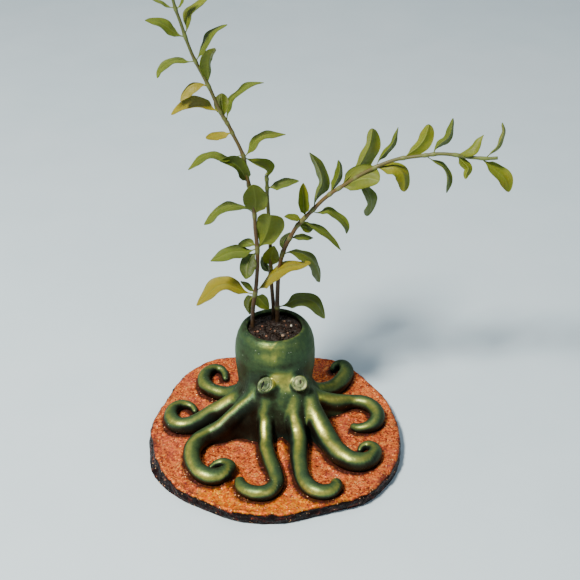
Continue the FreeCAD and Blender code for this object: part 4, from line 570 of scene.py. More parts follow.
# ------------------------------------------------------------- mesh helpers
def new_mesh(name, verts_mm, faces, attrs=None, smooth=True):
    me = bpy.data.meshes.new(name)
    v = np.asarray(verts_mm, float) * MM
    me.from_pydata(v.tolist(), [], [tuple(int(i) for i in f) for f in faces])
    for key, val in (attrs or {}).items():
        a = me.attributes.new(key, "FLOAT", "POINT")
        a.data.foreach_set("value", np.asarray(val, np.float32))
    if smooth:
        me.polygons.foreach_set("use_smooth", np.ones(len(me.polygons), bool))
    me.validate(clean_customdata=False)
    me.update()
    ob = bpy.data.objects.new(name, me)
    bpy.context.scene.collection.objects.link(ob)
    return ob


def step(v, a, b):
    t = np.clip((v - a) / (b - a), 0, 1)
    return t * t * (3 - 2 * t)


# How strongly the crest of each limb is lightened, partly by dry-brush paint and partly by a painted highlight,
# evenly spaced from the head to the tip.
CREST = {
    "arm_back_left": (0.15, 0.20, 0.30, 0.35, 0.30, 0.35, 0.30, 0.25),
    "arm_left": (0.40, 0.95, 1.00, 0.70, 0.35, 0.45, 0.60, 0.35, 0.30, 0.35, 0.30),
    "arm_front_left": (1.00, 1.00, 1.00, 0.90, 0.60, 0.55, 0.70, 0.85, 0.90, 0.65, 0.40, 0.35, 0.30),
    "arm_centre_left": (0.00, 0.30, 0.95, 1.00, 0.90, 0.70, 0.50, 0.40, 0.60, 0.85, 0.50, 0.25),
    "arm_centre_right": (0.10, 0.60, 1.00, 1.00, 0.90, 0.65, 0.50, 0.75, 1.00, 0.60, 0.25),
    "arm_front_right": (0.20, 0.75, 1.00, 1.00, 1.00, 0.95, 0.70, 0.45, 0.35, 0.30, 0.40, 0.30),
    "arm_right": (0.85, 0.80, 0.70, 0.60, 0.60, 0.50, 0.40, 0.35, 0.35, 0.40, 0.30),
    "arm_back_right": (0.85, 0.80, 0.70, 0.55, 0.45, 0.25, 0.15, 0.15),
}
CREST_WIDTH = {"arm_left": ((0.3, 0.5), (27.0, 19.0)), "arm_front_left": ((0.0, 0.3, 0.45), (10.0, 11.0, 19.0)),
               "arm_front_right": ((0.0, 1.0), (25.0, 25.0)),
               "arm_centre_left": ((0.3, 0.6), (25.0, 21.0)), "arm_centre_right": ((0.3, 0.6), (30.0, 21.0))}
RAISED = {"arm_front_left": ((0.0, 0.28, 0.40), (-11.0, -11.0, 0.0)), "arm_left": ((0.0, 0.35, 0.50), (-12.0, -12.0, 0.0)),
          "arm_centre_right": ((0.0, 0.45, 0.60), (-15.0, -15.0, 0.0))}
ROOT_PAINTED_LIGHT = {"arm_back_right": 0.20, "arm_right": 0.20}     # painted light: a lighter tone by the head, where these roots lie in the head's shadow
FLANK = {"arm_back_right": 34.0, "arm_right": 16.0, "arm_back_left": 16.0}   # how far the light tone reaches down, degrees; partly paint, partly painted light


def limb_tone_and_light(V, N):
    """Distance to the nearest limb and the tone on that limb, lightest along the crest (paint and painted highlight)
    and darker down the flank (dark paint and painted shade).
    """
    best = np.full(len(V), 9.0)
    tone = np.full(len(V), 0.3)
    blot = lattice(V, 4.2, 81)
    fleck = lattice(V, 1.5, 82)
    for name, rows in ARM_ROWS.items():
        a, b = rows[:, :3].min(0) - 8, rows[:, :3].max(0) + 8
        k = np.where(((V > a) & (V < b)).all(1))[0]
        tan = unit(np.gradient(rows[:, :3], axis=0))
        d2 = np.full(len(k), 1e9)
        at = np.zeros(len(k), int)
        q = V[k]
        for i in range(len(rows)):
            d = ((q - rows[i, :3]) ** 2).sum(1)
            m = d < d2
            d2[m] = d[m]
            at[m] = i
        dist = np.sqrt(d2) - rows[at, 3]
        # the crest line leans to the front and left, more so near the front edge, close to where the key light's
        # highlight falls
        low = step(-rows[:, 1], 30.0, 42.0)[:, None]
        lean = np.array((-0.30, -0.58, 0.74)) + low * np.array((0.0, -0.24, -0.26))
        side = np.array((-0.42, -0.88, -0.25))
        P = unit(lean - (lean * tan).sum(1)[:, None] * tan)
        S = np.cross(tan, P)
        lopsided = S @ side
        S = S * np.where(lopsided < 0, -1.0, 1.0)[:, None]
        lopsided = np.clip(np.abs(lopsided) / 0.40, 0, 1)[at]
        nn = N[k]
        psi = np.degrees(np.arctan2((nn * S[at]).sum(1), (nn * P[at]).sum(1))) + 7.0 * blot[k]
        frac = at / (len(rows) - 1.0)
        psi = psi - np.interp(frac, *RAISED.get(name, ((0.0, 1.0), (0.0, 0.0)))) * lopsided
        # across the limb: lightest at the crest, darker down the flank turned to the front, partly dark paint and
        # partly painted shade
        across = ([-150, -112, -84, -50, -10, 8, 18, 30, 42, 90, 180],
                  [0.06, 0.08, 0.22, 0.37, 0.52, 0.51, 0.38, 0.17, 0.06, 0.02, 0.02])
        reach = FLANK.get(name, 0.0)
        body = np.interp(psi - reach, *across) * (0.5 + 0.5 * lopsided) + np.interp(-psi - reach, *across) * (0.5 - 0.5 * lopsided)
        body = body + ROOT_PAINTED_LIGHT.get(name, 0.0) * np.interp(frac, (0.0, 0.20, 0.45), (1.0, 0.8, 0.0))
        width = np.interp(frac, *CREST_WIDTH.get(name, ((0.0, 1.0), (21.0, 21.0))))
        c = CREST[name]
        amount = np.interp(frac, np.linspace(0, 1, len(c)), c)
        # the crest line: partly dry-brush paint, partly a painted highlight
        ridge = np.exp(-(np.abs(psi + 2.0 * lopsided) / width) ** 2.2)
        t = body + 0.46 * ridge * amount * np.clip(0.86 + 0.35 * blot[k] + 0.30 * fleck[k], 0.25, 1.2)
        m = dist < best[k]
        best[k[m]] = dist[m]
        tone[k[m]] = t[m]
    return best, tone


def paint_tone_and_light(V, N, near, far):
    """How light the tone is there, 0 darkest to 1 lightest crest: the paint, with painted highlights and painted
    shade worked into it.
    """
    near, far = np.clip(near, 0, 1), np.clip(far, 0, 1)
    x, y, z = V[:, 0], V[:, 1], V[:, 2]
    blot = lattice(V, 5.5, 71)
    spot = lattice(V, 1.3, 75)
    # the head: a painted highlight in an arc under the front lip, a golden patch below it that is partly paint and
    # partly painted highlight, painted shade on the sides
    lip = step(z, 48.8, 51.8)
    out = np.hypot(x - POT_X, y - POT_Y)
    line = np.interp(x, [-11.0, -5.6, -1.0, 2.4, 14.0], [13.7, 13.8, 17.0, 14.2, 13.7])
    arc = np.exp(-((out - line) / 0.55) ** 2) * step(z, 49.5, 51.0) * step(-y, -20.0, -12.0)
    patch = np.exp(-((x + 0.6) / 5.4) ** 2 - ((z - 47.4) / 3.3) ** 2) * (y < 8)
    patch = patch * np.clip(0.80 + 0.5 * lattice(V, 2.6, 72) + 0.25 * spot, 0.2, 1.2)
    turn = step(x, 4.0, 15.0)
    left = step(-x, 5.0, 13.0)
    front_lip = step(z, 50.2, 51.8) * step(-np.abs(x - 0.5), -9.0, -3.0) * (y < 12)
    head = 0.37 + 0.06 * lip + 0.09 * front_lip + 0.42 * patch + 0.32 * arc * np.clip(0.6 + 0.6 * spot, 0.1, 1.1) - 0.02 * turn - 0.03 * left + 0.03 * blot
    # painted shade in hollows and low on the head
    head = head + 0.20 * (far - 1) + 0.12 * (near - 1) - 0.07 * step(-z, -42.0, -36.0)
    # a painted highlight along the rim's edge, broken up in places, and a painted highlight band on the right of the
    # rim
    rim_edge_highlight = np.exp(-((out - 13.7) / 0.5) ** 2) * step(z, 50.5, 52.0) * step(lattice(V, 2.4, 76), -0.1, 0.5)
    right_rim = np.exp(-((out - 14.0) / 0.9) ** 2) * step(z, 50.5, 52.0) * step(x, 3.0, 8.0) * step(-y, -19.0, -14.0)
    head = head + 0.25 * rim_edge_highlight * (1 - arc) + 0.26 * right_rim * np.clip(0.8 + 0.4 * spot, 0.3, 1.1)
    dist, limb = limb_tone_and_light(V, N)
    # the skirt between them: lighter on faces turned up, towards the back and on the right, darker low down on faces
    # turned to the front; painted light and painted shade
    skirt_tone = 0.18 + 0.26 * step(N[:, 2], 0.20, 0.80) + 0.05 * blot + 0.08 * step(y, 2.0, 14.0) + 0.20 * step(x, 11.0, 16.0)
    skirt_tone = skirt_tone - 0.13 * step(-N[:, 1], 0.35, 0.80) * step(-z, -20.0, -12.0)
    on = np.clip(1.30 - dist / 1.2, 0, 1)
    limb = limb * on + skirt_tone * (1 - on)
    # painted shade in hollows, from how open the surface is
    limb = limb + 0.22 * (far - 0.85) + 0.16 * (near - 0.9)
    d = revolve(V, POT_OUT)
    w = np.clip(1.25 - d / 2.6, 0, 1) * step(z, 24.0, 33.0)
    side = step(np.abs(x - 1.5), 10.0, 14.0)
    w = np.maximum(w, 0.8 * side * step(z, 15.0, 22.0) * np.clip(1.6 - d / 6.0, 0, 1))
    s = limb * (1 - w) + head * w
    # the shelf, painted lighter as if lit and with two painted highlights, and the panel under it
    front = (y < 3.5)
    shelf = np.exp(-(np.abs(x - 4.2) / 5.8) ** 4 - (np.abs(z - 35.4) / 4.6) ** 4) * front
    panel = np.exp(-(np.abs(x - 3.9) / 4.4) ** 4) * step(z, 9.0, 20.0) * step(-z, -33.0, -29.0) * front
    tube = np.zeros(len(V))
    for pos, direction, r in ((EYE_L, EYE_L_DIR, EYE_L_R), (EYE_RT, EYE_RT_DIR, EYE_RT_R)):
        dd = unit(direction)
        h = (V - np.array(pos)) @ dd
        dist = np.linalg.norm((V - np.array(pos)) - h[:, None] * dd, axis=1)
        tube = np.maximum(tube, np.clip(1.4 - np.abs(dist - r) / 1.3, 0, 1) * step(-h, 0.2, 1.0) * step(h, -8.5, -5.5)
                          * step(-z, -(pos[2] + 0.6), -(pos[2] - 2.2)))
        # a painted highlight round the upper right edge of each turret
        rim = np.clip(1.0 - np.abs(dist - r + 0.1) / 0.8, 0, 1) * np.clip(1.0 - np.abs(h + 0.5) / 1.6, 0, 1)
        s = np.maximum(s, (0.80 * step(z, pos[2] - 0.5, pos[2] + 1.5) * step(x, pos[0] - 2.6, pos[0] + 0.6)) * rim)
    shelf_highlight = 0.71 + 0.12 * step(z, 32.5, 36.5) + 0.06 * lattice(V, 2.2, 73)
    shelf_highlight = shelf_highlight + 0.38 * np.exp(-((x - 0.9) / 1.6) ** 2 - ((z - 37.2) / 1.8) ** 2) + 0.34 * np.exp(-((x - 7.6) / 0.8) ** 2 - ((z - 34.4) / 2.6) ** 2)
    shelf = shelf * (1 - tube)
    s = s * (1 - shelf) + np.maximum(s, shelf_highlight) * shelf
    grain = 0.06 * lattice(V * (1.0, 1.0, 0.22), 1.1, 77) + 0.03 * lattice(V * (0.3, 0.3, 1.0), 0.7, 74)
    # the panel: streaks, lighter higher up, with painted shade in its hollows
    s = s * (1 - panel) + np.maximum(s * 0.9, 0.26 + 0.16 * step(z, 18.0, 29.0) + grain + 0.12 * (near - 1)) * panel
    # painted shade on the turret walls under the eyes
    s = s * (1 - tube) + np.minimum(s, 0.22) * tube
    # the inside of the mouth, just above the soil, is made dark
    bore = np.clip((13.75 - np.hypot(x - POT_X, y - POT_Y)) / 0.35, 0, 1) * step(-z, -53.1, -52.2)
    return s * (1 - bore) + 0.05 * bore


shade_all = paint_tone_and_light(P_all, N_all, open_all, open_far)
octopus = {}
for label, name in enumerate(PIECES, 1):
    fwd, back = S_all[:, 0] == label, S_all[:, 1] == label
    q = np.concatenate([Q_all[fwd], Q_all[back][:, ::-1]])
    skin = np.concatenate([S_all[fwd][:, 1] == 0, S_all[back][:, 0] == 0])
    used, inv = np.unique(q, return_inverse=True)
    q = inv.reshape(q.shape)
    V = P_all[used]
    n_out = N_all[used]
    # how close to the slab; the paint is darkened there below as painted contact shade
    foot = np.clip(1 - (V[:, 2] - T) / 1.1, 0, 1) ** 1.5
    ob = new_mesh("skin_" + name, V, q, {"shade": shade_all[used], "foot": foot})
    me = ob.data
    e1, e2 = V[q[:, 2]] - V[q[:, 0]], V[q[:, 3]] - V[q[:, 1]]
    flat = unit(np.cross(e1, e2))
    loops = np.where(skin[:, None, None], n_out[q], flat[:, None, :])
    me.normals_split_custom_set(loops.reshape(-1, 3).astype(np.float32).tolist())
    octopus[name] = ob

# ------------------------------------------------------------------- the slab
def ring_radius(table, ang):
    a = (np.degrees(ang) + 180.0) % 360.0
    knots = np.arange(30) * 12.0
    t = np.asarray(table, float)
    i = np.floor(a / 12.0).astype(int) % 30
    f = a / 12.0 - np.floor(a / 12.0)
    p0, p1, p2, p3 = t[(i - 1) % 30], t[i], t[(i + 1) % 30], t[(i + 2) % 30]
    return 0.5 * (2 * p1 + (p2 - p0) * f + (2 * p0 - 5 * p1 + 4 * p2 - p3) * f * f + (3 * p1 - p0 - 3 * p2 + p3) * f ** 3)


def body_distance(p):
    q = np.clip(p, lo, hi - 1e-3)
    return sample(F, q)


def slab_mesh():
    na = 620
    nt, ne = ((120, 18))
    ang = np.arange(na) * 2 * math.pi / na
    top, foot = ring_radius(TOP_R, ang), ring_radius(FOOT_R, ang)
    c = np.stack([np.cos(ang), np.sin(ang)], 1)
    rows, crust, rim = [], [], []
    # the upper face, from the middle out
    for k in range(1, nt + 1):
        s = (k / nt) ** 0.93
        r = (top - 1.5) * s
        xy = c * r[:, None]
        d = body_distance(np.c_[xy, np.full(na, T + 0.9)])
        fillet = np.clip(1 - d / 4.6, 0, 1)
        h = 0.55 * fillet ** 2 * (3 - 2 * fillet) * (d > -0.5)
        p3 = np.c_[xy, np.zeros(na)]
        h = h + 0.16 * lattice(p3, 2.1, 11) + 0.10 * lattice(p3, 0.9, 12) + 0.14 * lattice(p3, 6.0, 13)
        edge = np.clip((top - 1.5 - r) / 5.0, 0, 1)
        h = h + 0.35 * (1 - edge) ** 2
        # the upright ridge of the same mix between the two middle limbs
        u = np.clip((-11.0 - xy[:, 1]) / 15.0, 0, 1)
        mid = 3.9 + 1.2 * u
        ridge = np.exp(-((xy[:, 0] - mid) / (2.5 - 0.5 * u)) ** 2)
        fall = np.clip((xy[:, 1] + 30.0) / 16.0, 0, 1) * np.clip((-5.0 - xy[:, 1]) / 3.0, 0, 1)
        h = h + 2.6 * ridge * fall * fall * (3 - 2 * fall)
        # a low ridge where the front left limb's curl meets its neighbour
        q = xy - (-17.3, -34.6)
        e = np.array((-4.2, -8.0))
        t = np.clip((q @ e) / (e @ e), 0, 1)
        h = h + 1.7 * np.exp(-(np.linalg.norm(q - t[:, None] * e, axis=1) / 1.3) ** 2)
        rows.append(np.c_[xy, T - 0.15 + h])
        crust.append(fillet)
        rim.append(1 - edge)
    # the broken edge, down to the foot
    for k in range(1, ne + 1):
        s = k / ne
        z = T * (1 - s) ** 1.05 + 0.32 * np.sin(math.pi * min(1, s * 6)) * (s < 1 / 6)
        flare = np.interp(s, [0, 0.08, 0.2, 0.55, 0.9, 1.0], [-0.9, -0.25, 0.05, 0.25, 0.75, 1.0])
        r = np.where(flare < 0, top + 1.5 * flare, top + (foot - top) * np.clip(flare, 0, 1))
        p3 = np.c_[c * r[:, None], np.full(na, z)]
        chip = 0.55 * lattice(p3, 4.2, 21) + 0.30 * lattice(p3, 1.7, 22) + 0.12 * lattice(p3, 0.8, 23)
        flake = np.abs(lattice(p3 * (1, 1, 1.6), 6.5, 24))
        amount = math.sin(math.pi * min(1.0, 0.12 + s * 0.88)) ** 0.6 if s < 1 else 0.25
        r = r + (chip - 0.9 * np.clip(flake - 0.35, 0, 1)) * amount
        rows.append(np.c_[c * r[:, None], np.full(na, max(z, 0.0))])
        crust.append(np.zeros(na))
        rim.append(np.full(na, 1.0 + s))
    for s in (0.93, 0.6, 0.25):
        rows.append(np.c_[c * (foot * s)[:, None], np.zeros(na)])
        crust.append(np.zeros(na))
        rim.append(np.full(na, 2.2))
    V = np.concatenate([[[0, 0, T]]] + rows + [[[0, 0, 0]]])
    faces = []
    j = np.arange(na)
    jn = (j + 1) % na
    faces += np.stack([np.zeros(na, int), 1 + j, 1 + jn], 1).tolist()
    for k in range(len(rows) - 1):
        a, b = 1 + k * na, 1 + (k + 1) * na
        faces += np.stack([a + j, b + j, b + jn, a + jn], 1).tolist()
    a = 1 + (len(rows) - 1) * na
    faces += np.stack([a + j, np.full(na, len(V) - 1), a + jn], 1).tolist()
    crust = np.r_[0, np.concatenate(crust), 0]
    rim = np.r_[0, np.concatenate(rim), 2.2]
    foot_p = np.c_[V[:, :2], np.full(len(V), T + 1.0)]
    near = body_distance(foot_p)
    # painted contact shade round each limb, reaching further out on the front and left
    away = slope(np.clip(foot_p, lo, hi - 1e-3))
    near = near - 1.3 * np.clip(-0.55 * away[:, 0] - 0.80 * away[:, 1], 0, 1) * np.clip(near / 0.8, 0, 1)
    # the mix is more golden along the front left edge and on the ridge
    flat = np.c_[V[:, :2], np.zeros(len(V))]
    gilt = np.clip((-34.0 - V[:, 1] - 0.32 * np.abs(V[:, 0] + 14.0) + 5.0 * lattice(flat, 7.0, 61)) / 10.0, 0, 1)
    gilt = np.maximum(gilt, 0.9 * np.exp(-((V[:, 0] - 4.2) / 1.9) ** 2) * np.exp(-((V[:, 1] + 15.5) / 6.0) ** 2))
    gilt = np.maximum(gilt, np.exp(-((V[:, 0] + 19.4 + 0.45 * (V[:, 1] + 38.5)) / 1.8) ** 2) * np.exp(-((V[:, 1] + 39.5) / 5.0) ** 4))
    return new_mesh("glitter_slab", V, faces, {"crust": crust, "rim": rim, "gilt": gilt, "near": np.clip(near / 10.0, -0.2, 1)})


slab = slab_mesh()


# ------------------------------------------------------------------- the eyes
def basis(d):
    d = unit(d)
    a = unit(np.cross(d, (0, 0, 1.0)))
    b = np.cross(a, d)
    return a, b, d


def eye_mesh(name, pos, direction, radius, ring, face, pale, cut):
    """A disc with a raised rolled rim, a groove and a low dome, slightly uneven."""
    a, b, d = basis(direction)
    prof = [(0.0, 0.36), (0.25, 0.34), (0.45, 0.27), (0.58, 0.15), (ring - 0.07, 0.02 + 0.10 * (1 - cut)), (ring, 0.12 * (1 - cut)), (ring + 0.06, 0.14),
            (ring + 0.12, 0.34), (0.90, 0.40), (0.96, 0.30), (1.0, 0.08), (1.01, -0.4), (0.98, -0.9), (0.0, -0.95)]
    n = 72
    ang = np.arange(n) * 2 * math.pi / n
    V, faces, groove, band = [np.array(pos) + d * 0.36], [], [0.0], [face]
    for rr, h in prof[1:-1]:
        wob = 1 + 0.018 * np.sin(2 * ang + 0.6) + 0.012 * np.sin(5 * ang + 1.3)
        hh = h + 0.03 * np.sin(3 * ang + rr * 9)
        p = np.array(pos) + radius * rr * wob[:, None] * (np.cos(ang)[:, None] * a + np.sin(ang)[:, None] * b) + hh[:, None] * d
        V += list(p)
        groove += [cut * float(np.clip(1 - abs(rr - ring) / 0.09, 0, 1))] * n
        band += [pale if rr > ring + 0.05 else face] * n
    V.append(np.array(pos) - d * 0.95)
    groove.append(0.0)
    band.append(0.0)
    j = np.arange(n)
    jn = (j + 1) % n
    faces += np.stack([np.zeros(n, int), 1 + j, 1 + jn], 1).tolist()
    rings = len(prof) - 2
    for k in range(rings - 1):
        p, q = 1 + k * n, 1 + (k + 1) * n
        faces += np.stack([p + j, q + j, q + jn, p + jn], 1).tolist()
    p = 1 + (rings - 1) * n
    faces += np.stack([p + j, np.full(n, len(V) - 1), p + jn], 1).tolist()
    return new_mesh(name, np.array(V), faces, {"groove": groove, "ring": band})


def pupil_mesh(name, pos, direction, outline, height):
    """A low bead with the given outline (points in the eye's own plane, mm)."""
    a, b, d = basis(direction)
    out = np.asarray(outline, float)
    n = len(out)
    V, faces = [np.array(pos) + d * (height + 0.10)], []
    prof = [(0.35, 0.09), (0.62, 0.06), (0.82, 0.0), (0.94, -0.08), (1.0, -0.22), (1.0, -0.45), (0.85, -0.6)]
    for s, h in prof:
        V += list(np.array(pos) + (out[:, :1] * s) * a + (out[:, 1:] * s) * b + (height + h) * d)
    V.append(np.array(pos) + d * (height - 0.62))
    j = np.arange(n)
    jn = (j + 1) % n
    faces += np.stack([np.zeros(n, int), 1 + j, 1 + jn], 1).tolist()
    for k in range(len(prof) - 1):
        p, q = 1 + k * n, 1 + (k + 1) * n
        faces += np.stack([p + j, q + j, q + jn, p + jn], 1).tolist()
    p = 1 + (len(prof) - 1) * n
    faces += np.stack([p + j, np.full(n, len(V) - 1), p + jn], 1).tolist()
    return new_mesh(name, np.array(V), faces)


eye_left = eye_mesh("disc_eye_left", EYE_L, EYE_L_DIR, EYE_L_R - 0.25, 0.70, 0.24, 0.30, 0.35)
eye_right = eye_mesh("disc_eye_right", EYE_RT, EYE_RT_DIR, EYE_RT_R - 0.2, 0.66, 0.78, 0.90, 0.18)
th = np.arange(40) * 2 * math.pi / 40
slit = np.stack([2.15 * np.sign(np.cos(th)) * np.abs(np.cos(th)) ** 1.0, 0.72 * np.sin(th) * (0.75 + 0.25 * np.abs(np.sin(th)))], 1)
tilt = math.radians(62)
slit = slit @ np.array([[math.cos(tilt), math.sin(tilt)], [-math.sin(tilt), math.cos(tilt)]]) + (0.80, -0.70)
pupil_left = pupil_mesh("bead_pupil_left", EYE_L, EYE_L_DIR, slit, 0.40)
dot = np.stack([0.62 * np.cos(th) * (1 + 0.16 * np.sin(2 * th)), 1.0 * np.sin(th) * (1 + 0.10 * np.cos(3 * th))], 1) + (-0.45, 0.75)
pupil_right = pupil_mesh("bead_pupil_right", EYE_RT, EYE_RT_DIR, dot, 0.36)


# ------------------------------------------------------------- soil and grit
def soil_height(x, y):
    """The soil's level, low at the front lip and level behind the stems."""
    y = np.asarray(y, float)
    t = np.clip((y - 4.3) / (18.0 - 4.3), 0, 1)
    z = 47.1 + (51.6 - 47.1) * t
    return z - 0.6 * np.clip((y - 18.0) / 15.7, 0, 1)


def soil_mesh():
    n, m = 160, 46
    ang = np.arange(n) * 2 * math.pi / n
    V, faces, wet = [], [], []
    R = 12.72
    V.append([POT_X, POT_Y, float(soil_height(0, POT_Y)) + 0.1])
    wet.append(0.5)
    for k in range(1, m + 1):
        r = R * k / m
        x, y = POT_X + r * np.cos(ang), POT_Y + r * np.sin(ang)
        p = np.c_[x, y, np.zeros(n)]
        lump = 0.55 * np.clip(lattice(p, 2.4, 31), -0.7, 1) + 0.32 * lattice(p, 1.1, 32) + 0.16 * lattice(p, 0.55, 33)
        lump = lump * np.clip((R - r) / 1.2 + 0.25, 0, 1)
        V += np.c_[x, y, soil_height(x, y) + lump + 0.05].tolist()
        wet += list(np.clip(0.5 + lump, 0, 1))
    for z in (44.0, 34.0, 24.0, POT_FLOOR_Z + 1.3):
        r = R * 0.992
        V += np.c_[POT_X + r * np.cos(ang), POT_Y + r * np.sin(ang), np.full(n, z)].tolist()
        wet += [0.4] * n
    V.append([POT_X, POT_Y, POT_FLOOR_Z + 1.3])
    wet.append(0.4)
    j = np.arange(n)
    jn = (j + 1) % n
    faces += np.stack([np.zeros(n, int), 1 + j, 1 + jn], 1).tolist()
    for k in range(m + 3):
        p, q = 1 + k * n, 1 + (k + 1) * n
        faces += np.stack([p + j, q + j, q + jn, p + jn], 1).tolist()
    p = 1 + (m + 3) * n
    faces += np.stack([p + j, np.full(n, len(V) - 1), p + jn], 1).tolist()
    return new_mesh("bed_of_soil", np.array(V), faces, {"wet": wet})


soil = soil_mesh()


def ball(n_u, n_v):
    """Unit ball as rows of points and quads, poles as single points."""
    V = [(0, 0, 1.0)]
    for i in range(1, n_v):
        ph = math.pi * i / n_v
        for j in range(n_u):
            t = 2 * math.pi * j / n_u
            V.append((math.sin(ph) * math.cos(t), math.sin(ph) * math.sin(t), math.cos(ph)))
    V.append((0, 0, -1.0))
    fs = [(0, 1 + j, 1 + (j + 1) % n_u) for j in range(n_u)]
    for i in range(n_v - 2):
        a, b = 1 + i * n_u, 1 + (i + 1) * n_u
        fs += [(a + j, b + j, b + (j + 1) % n_u, a + (j + 1) % n_u) for j in range(n_u)]
    a = 1 + (n_v - 2) * n_u
    fs += [(a + j, len(V) - 1, a + (j + 1) % n_u) for j in range(n_u)]
    return np.array(V), fs


def lumps(name, items, n_u=16, n_v=10, rough=0.22):
    """Many uneven grains in one mesh: items are (x, y, z, r, squash, seed)."""
    B, bf = ball(n_u, n_v)
    V, faces, tone = [], [], []
    for x, y, z, r, sq, seed in items:
        d = 1 + rough * lattice(B * 1.0 + seed * 3.1, 0.75, 40) + 0.5 * rough * lattice(B + seed * 1.7, 0.33, 41)
        a = seed * 2.4
        rot = np.array([[math.cos(a), -math.sin(a), 0], [math.sin(a), math.cos(a), 0], [0, 0, 1]])
        tip = np.array([[1, 0, 0], [0, math.cos(a * 1.7), -math.sin(a * 1.7)], [0, math.sin(a * 1.7), math.cos(a * 1.7)]])
        q = (B * d[:, None] * (1.0, 1.0 / sq, sq)) @ rot.T @ tip.T * r + (x, y, z)
        base = sum(len(v) for v in V)
        V.append(q)
        faces += [tuple(base + i for i in f) for f in bf]
        tone += [((seed * 0.618034) % 1.0)] * len(B)
    return new_mesh(name, np.concatenate(V), faces, {"tone": tone})


crumbs_items = []
for k in range(170):
    a, r = rng.uniform(0, 2 * math.pi), 12.0 * math.sqrt(rng.uniform(0, 1))
    x, y = POT_X + r * math.cos(a), POT_Y + r * math.sin(a)
    s = rng.uniform(0.22, 0.62)
    crumbs_items.append((x, y, float(soil_height(x, y)) + 0.25 * s + 0.1, s, rng.uniform(0.7, 1.0), k + 1))
crumbs = lumps("crumbs_of_soil", crumbs_items, 10, 7, 0.3)
grit_items = []
for k, (x, y, r) in enumerate(GRIT):
    grit_items.append((x, y, float(soil_height(x, y)) + 0.35 * r + 0.35, r * 0.95, 0.88, k + 3))
grit = lumps("grains_of_grit", grit_items, 20, 13, 0.2)


# ------------------------------------------------------------------- the stems
def tube(rows, sides, name, attrs, blunt=False):
    """A closed tube along rows (x, y, z, r); the end is rounded or cut blunt."""
    rows = np.asarray(rows, float)
    tan = unit(np.gradient(rows[:, :3], axis=0))
    nrm = unit(np.cross(tan[0], (0.2, 1.0, 0.1)))
    V, faces, along, knot = [], [], [], []
    ang = np.arange(sides) * 2 * math.pi / sides
    frames = []
    for i in range(len(rows)):
        nrm = unit(nrm - tan[i] * (nrm @ tan[i]))
        frames.append((nrm.copy(), np.cross(tan[i], nrm)))
        a, b = frames[-1]
        V += list(rows[i, :3] + rows[i, 3] * (np.cos(ang)[:, None] * a + np.sin(ang)[:, None] * b))
        along += [attrs["along"][i]] * sides
        knot += [attrs["knot"][i]] * sides
    j = np.arange(sides)
    jn = (j + 1) % sides
    for k in range(len(rows) - 1):
        p, q = k * sides, (k + 1) * sides
        faces += np.stack([p + j, p + jn, q + jn, q + j], 1).tolist()
    V.append(rows[0, :3])
    along.append(attrs["along"][0]); knot.append(0)
    faces += np.stack([j, np.full(sides, len(V) - 1), jn], 1).tolist()
    V.append(rows[-1, :3] + tan[-1] * (0.05 if blunt else rows[-1, 3] * 0.4))
    along.append(attrs["along"][-1]); knot.append(0)
    e = (len(rows) - 1) * sides
    faces += np.stack([e + j, e + jn, np.full(sides, len(V) - 1)], 1).tolist()
    return new_mesh(name, np.array(V), faces, {"along": along, "knot": knot})


stems = {}
for key, (r0, r1, pts) in STEMS.items():
    P3 = np.array(pts, float)
    down = P3[0] - (0, 0, 7.0)
    P3 = np.vstack([down, P3])
    n = 200
    C = catmull(P3, n)
    # where this stem's leaves come off
    roots = [np.array(l[3][0]) for l in LEAVES if l[2] == key]
    R = np.interp(np.linspace(0, 1, n), [0, 0.06, 1], [r0 * 1.06, r0, r1])
    knot = np.zeros(n)
    for q in roots:
        d = np.linalg.norm(C - q, axis=1)
        knot = np.maximum(knot, np.exp(-(d / 1.1) ** 2))
    R = R * (1 + 0.30 * knot)
    R = R * (1 + 0.035 * lattice(C, 2.5, 51) + 0.02 * lattice(C, 0.9, 52))
    along = np.linspace(0, 1, n)
    stems[key] = tube(np.c_[C, R], 22, "stalk_" + key, {"along": along, "knot": knot}, blunt=(key == "right"))


# ------------------------------------------------------------------ the leaves
FRONT = np.array([0.0, 0.8508, -0.5255])
TINTS = {"g": 0.30, "o": 0.46, "l": 0.72, "y": 1.0, "d": 0.06, "b": 0.18}


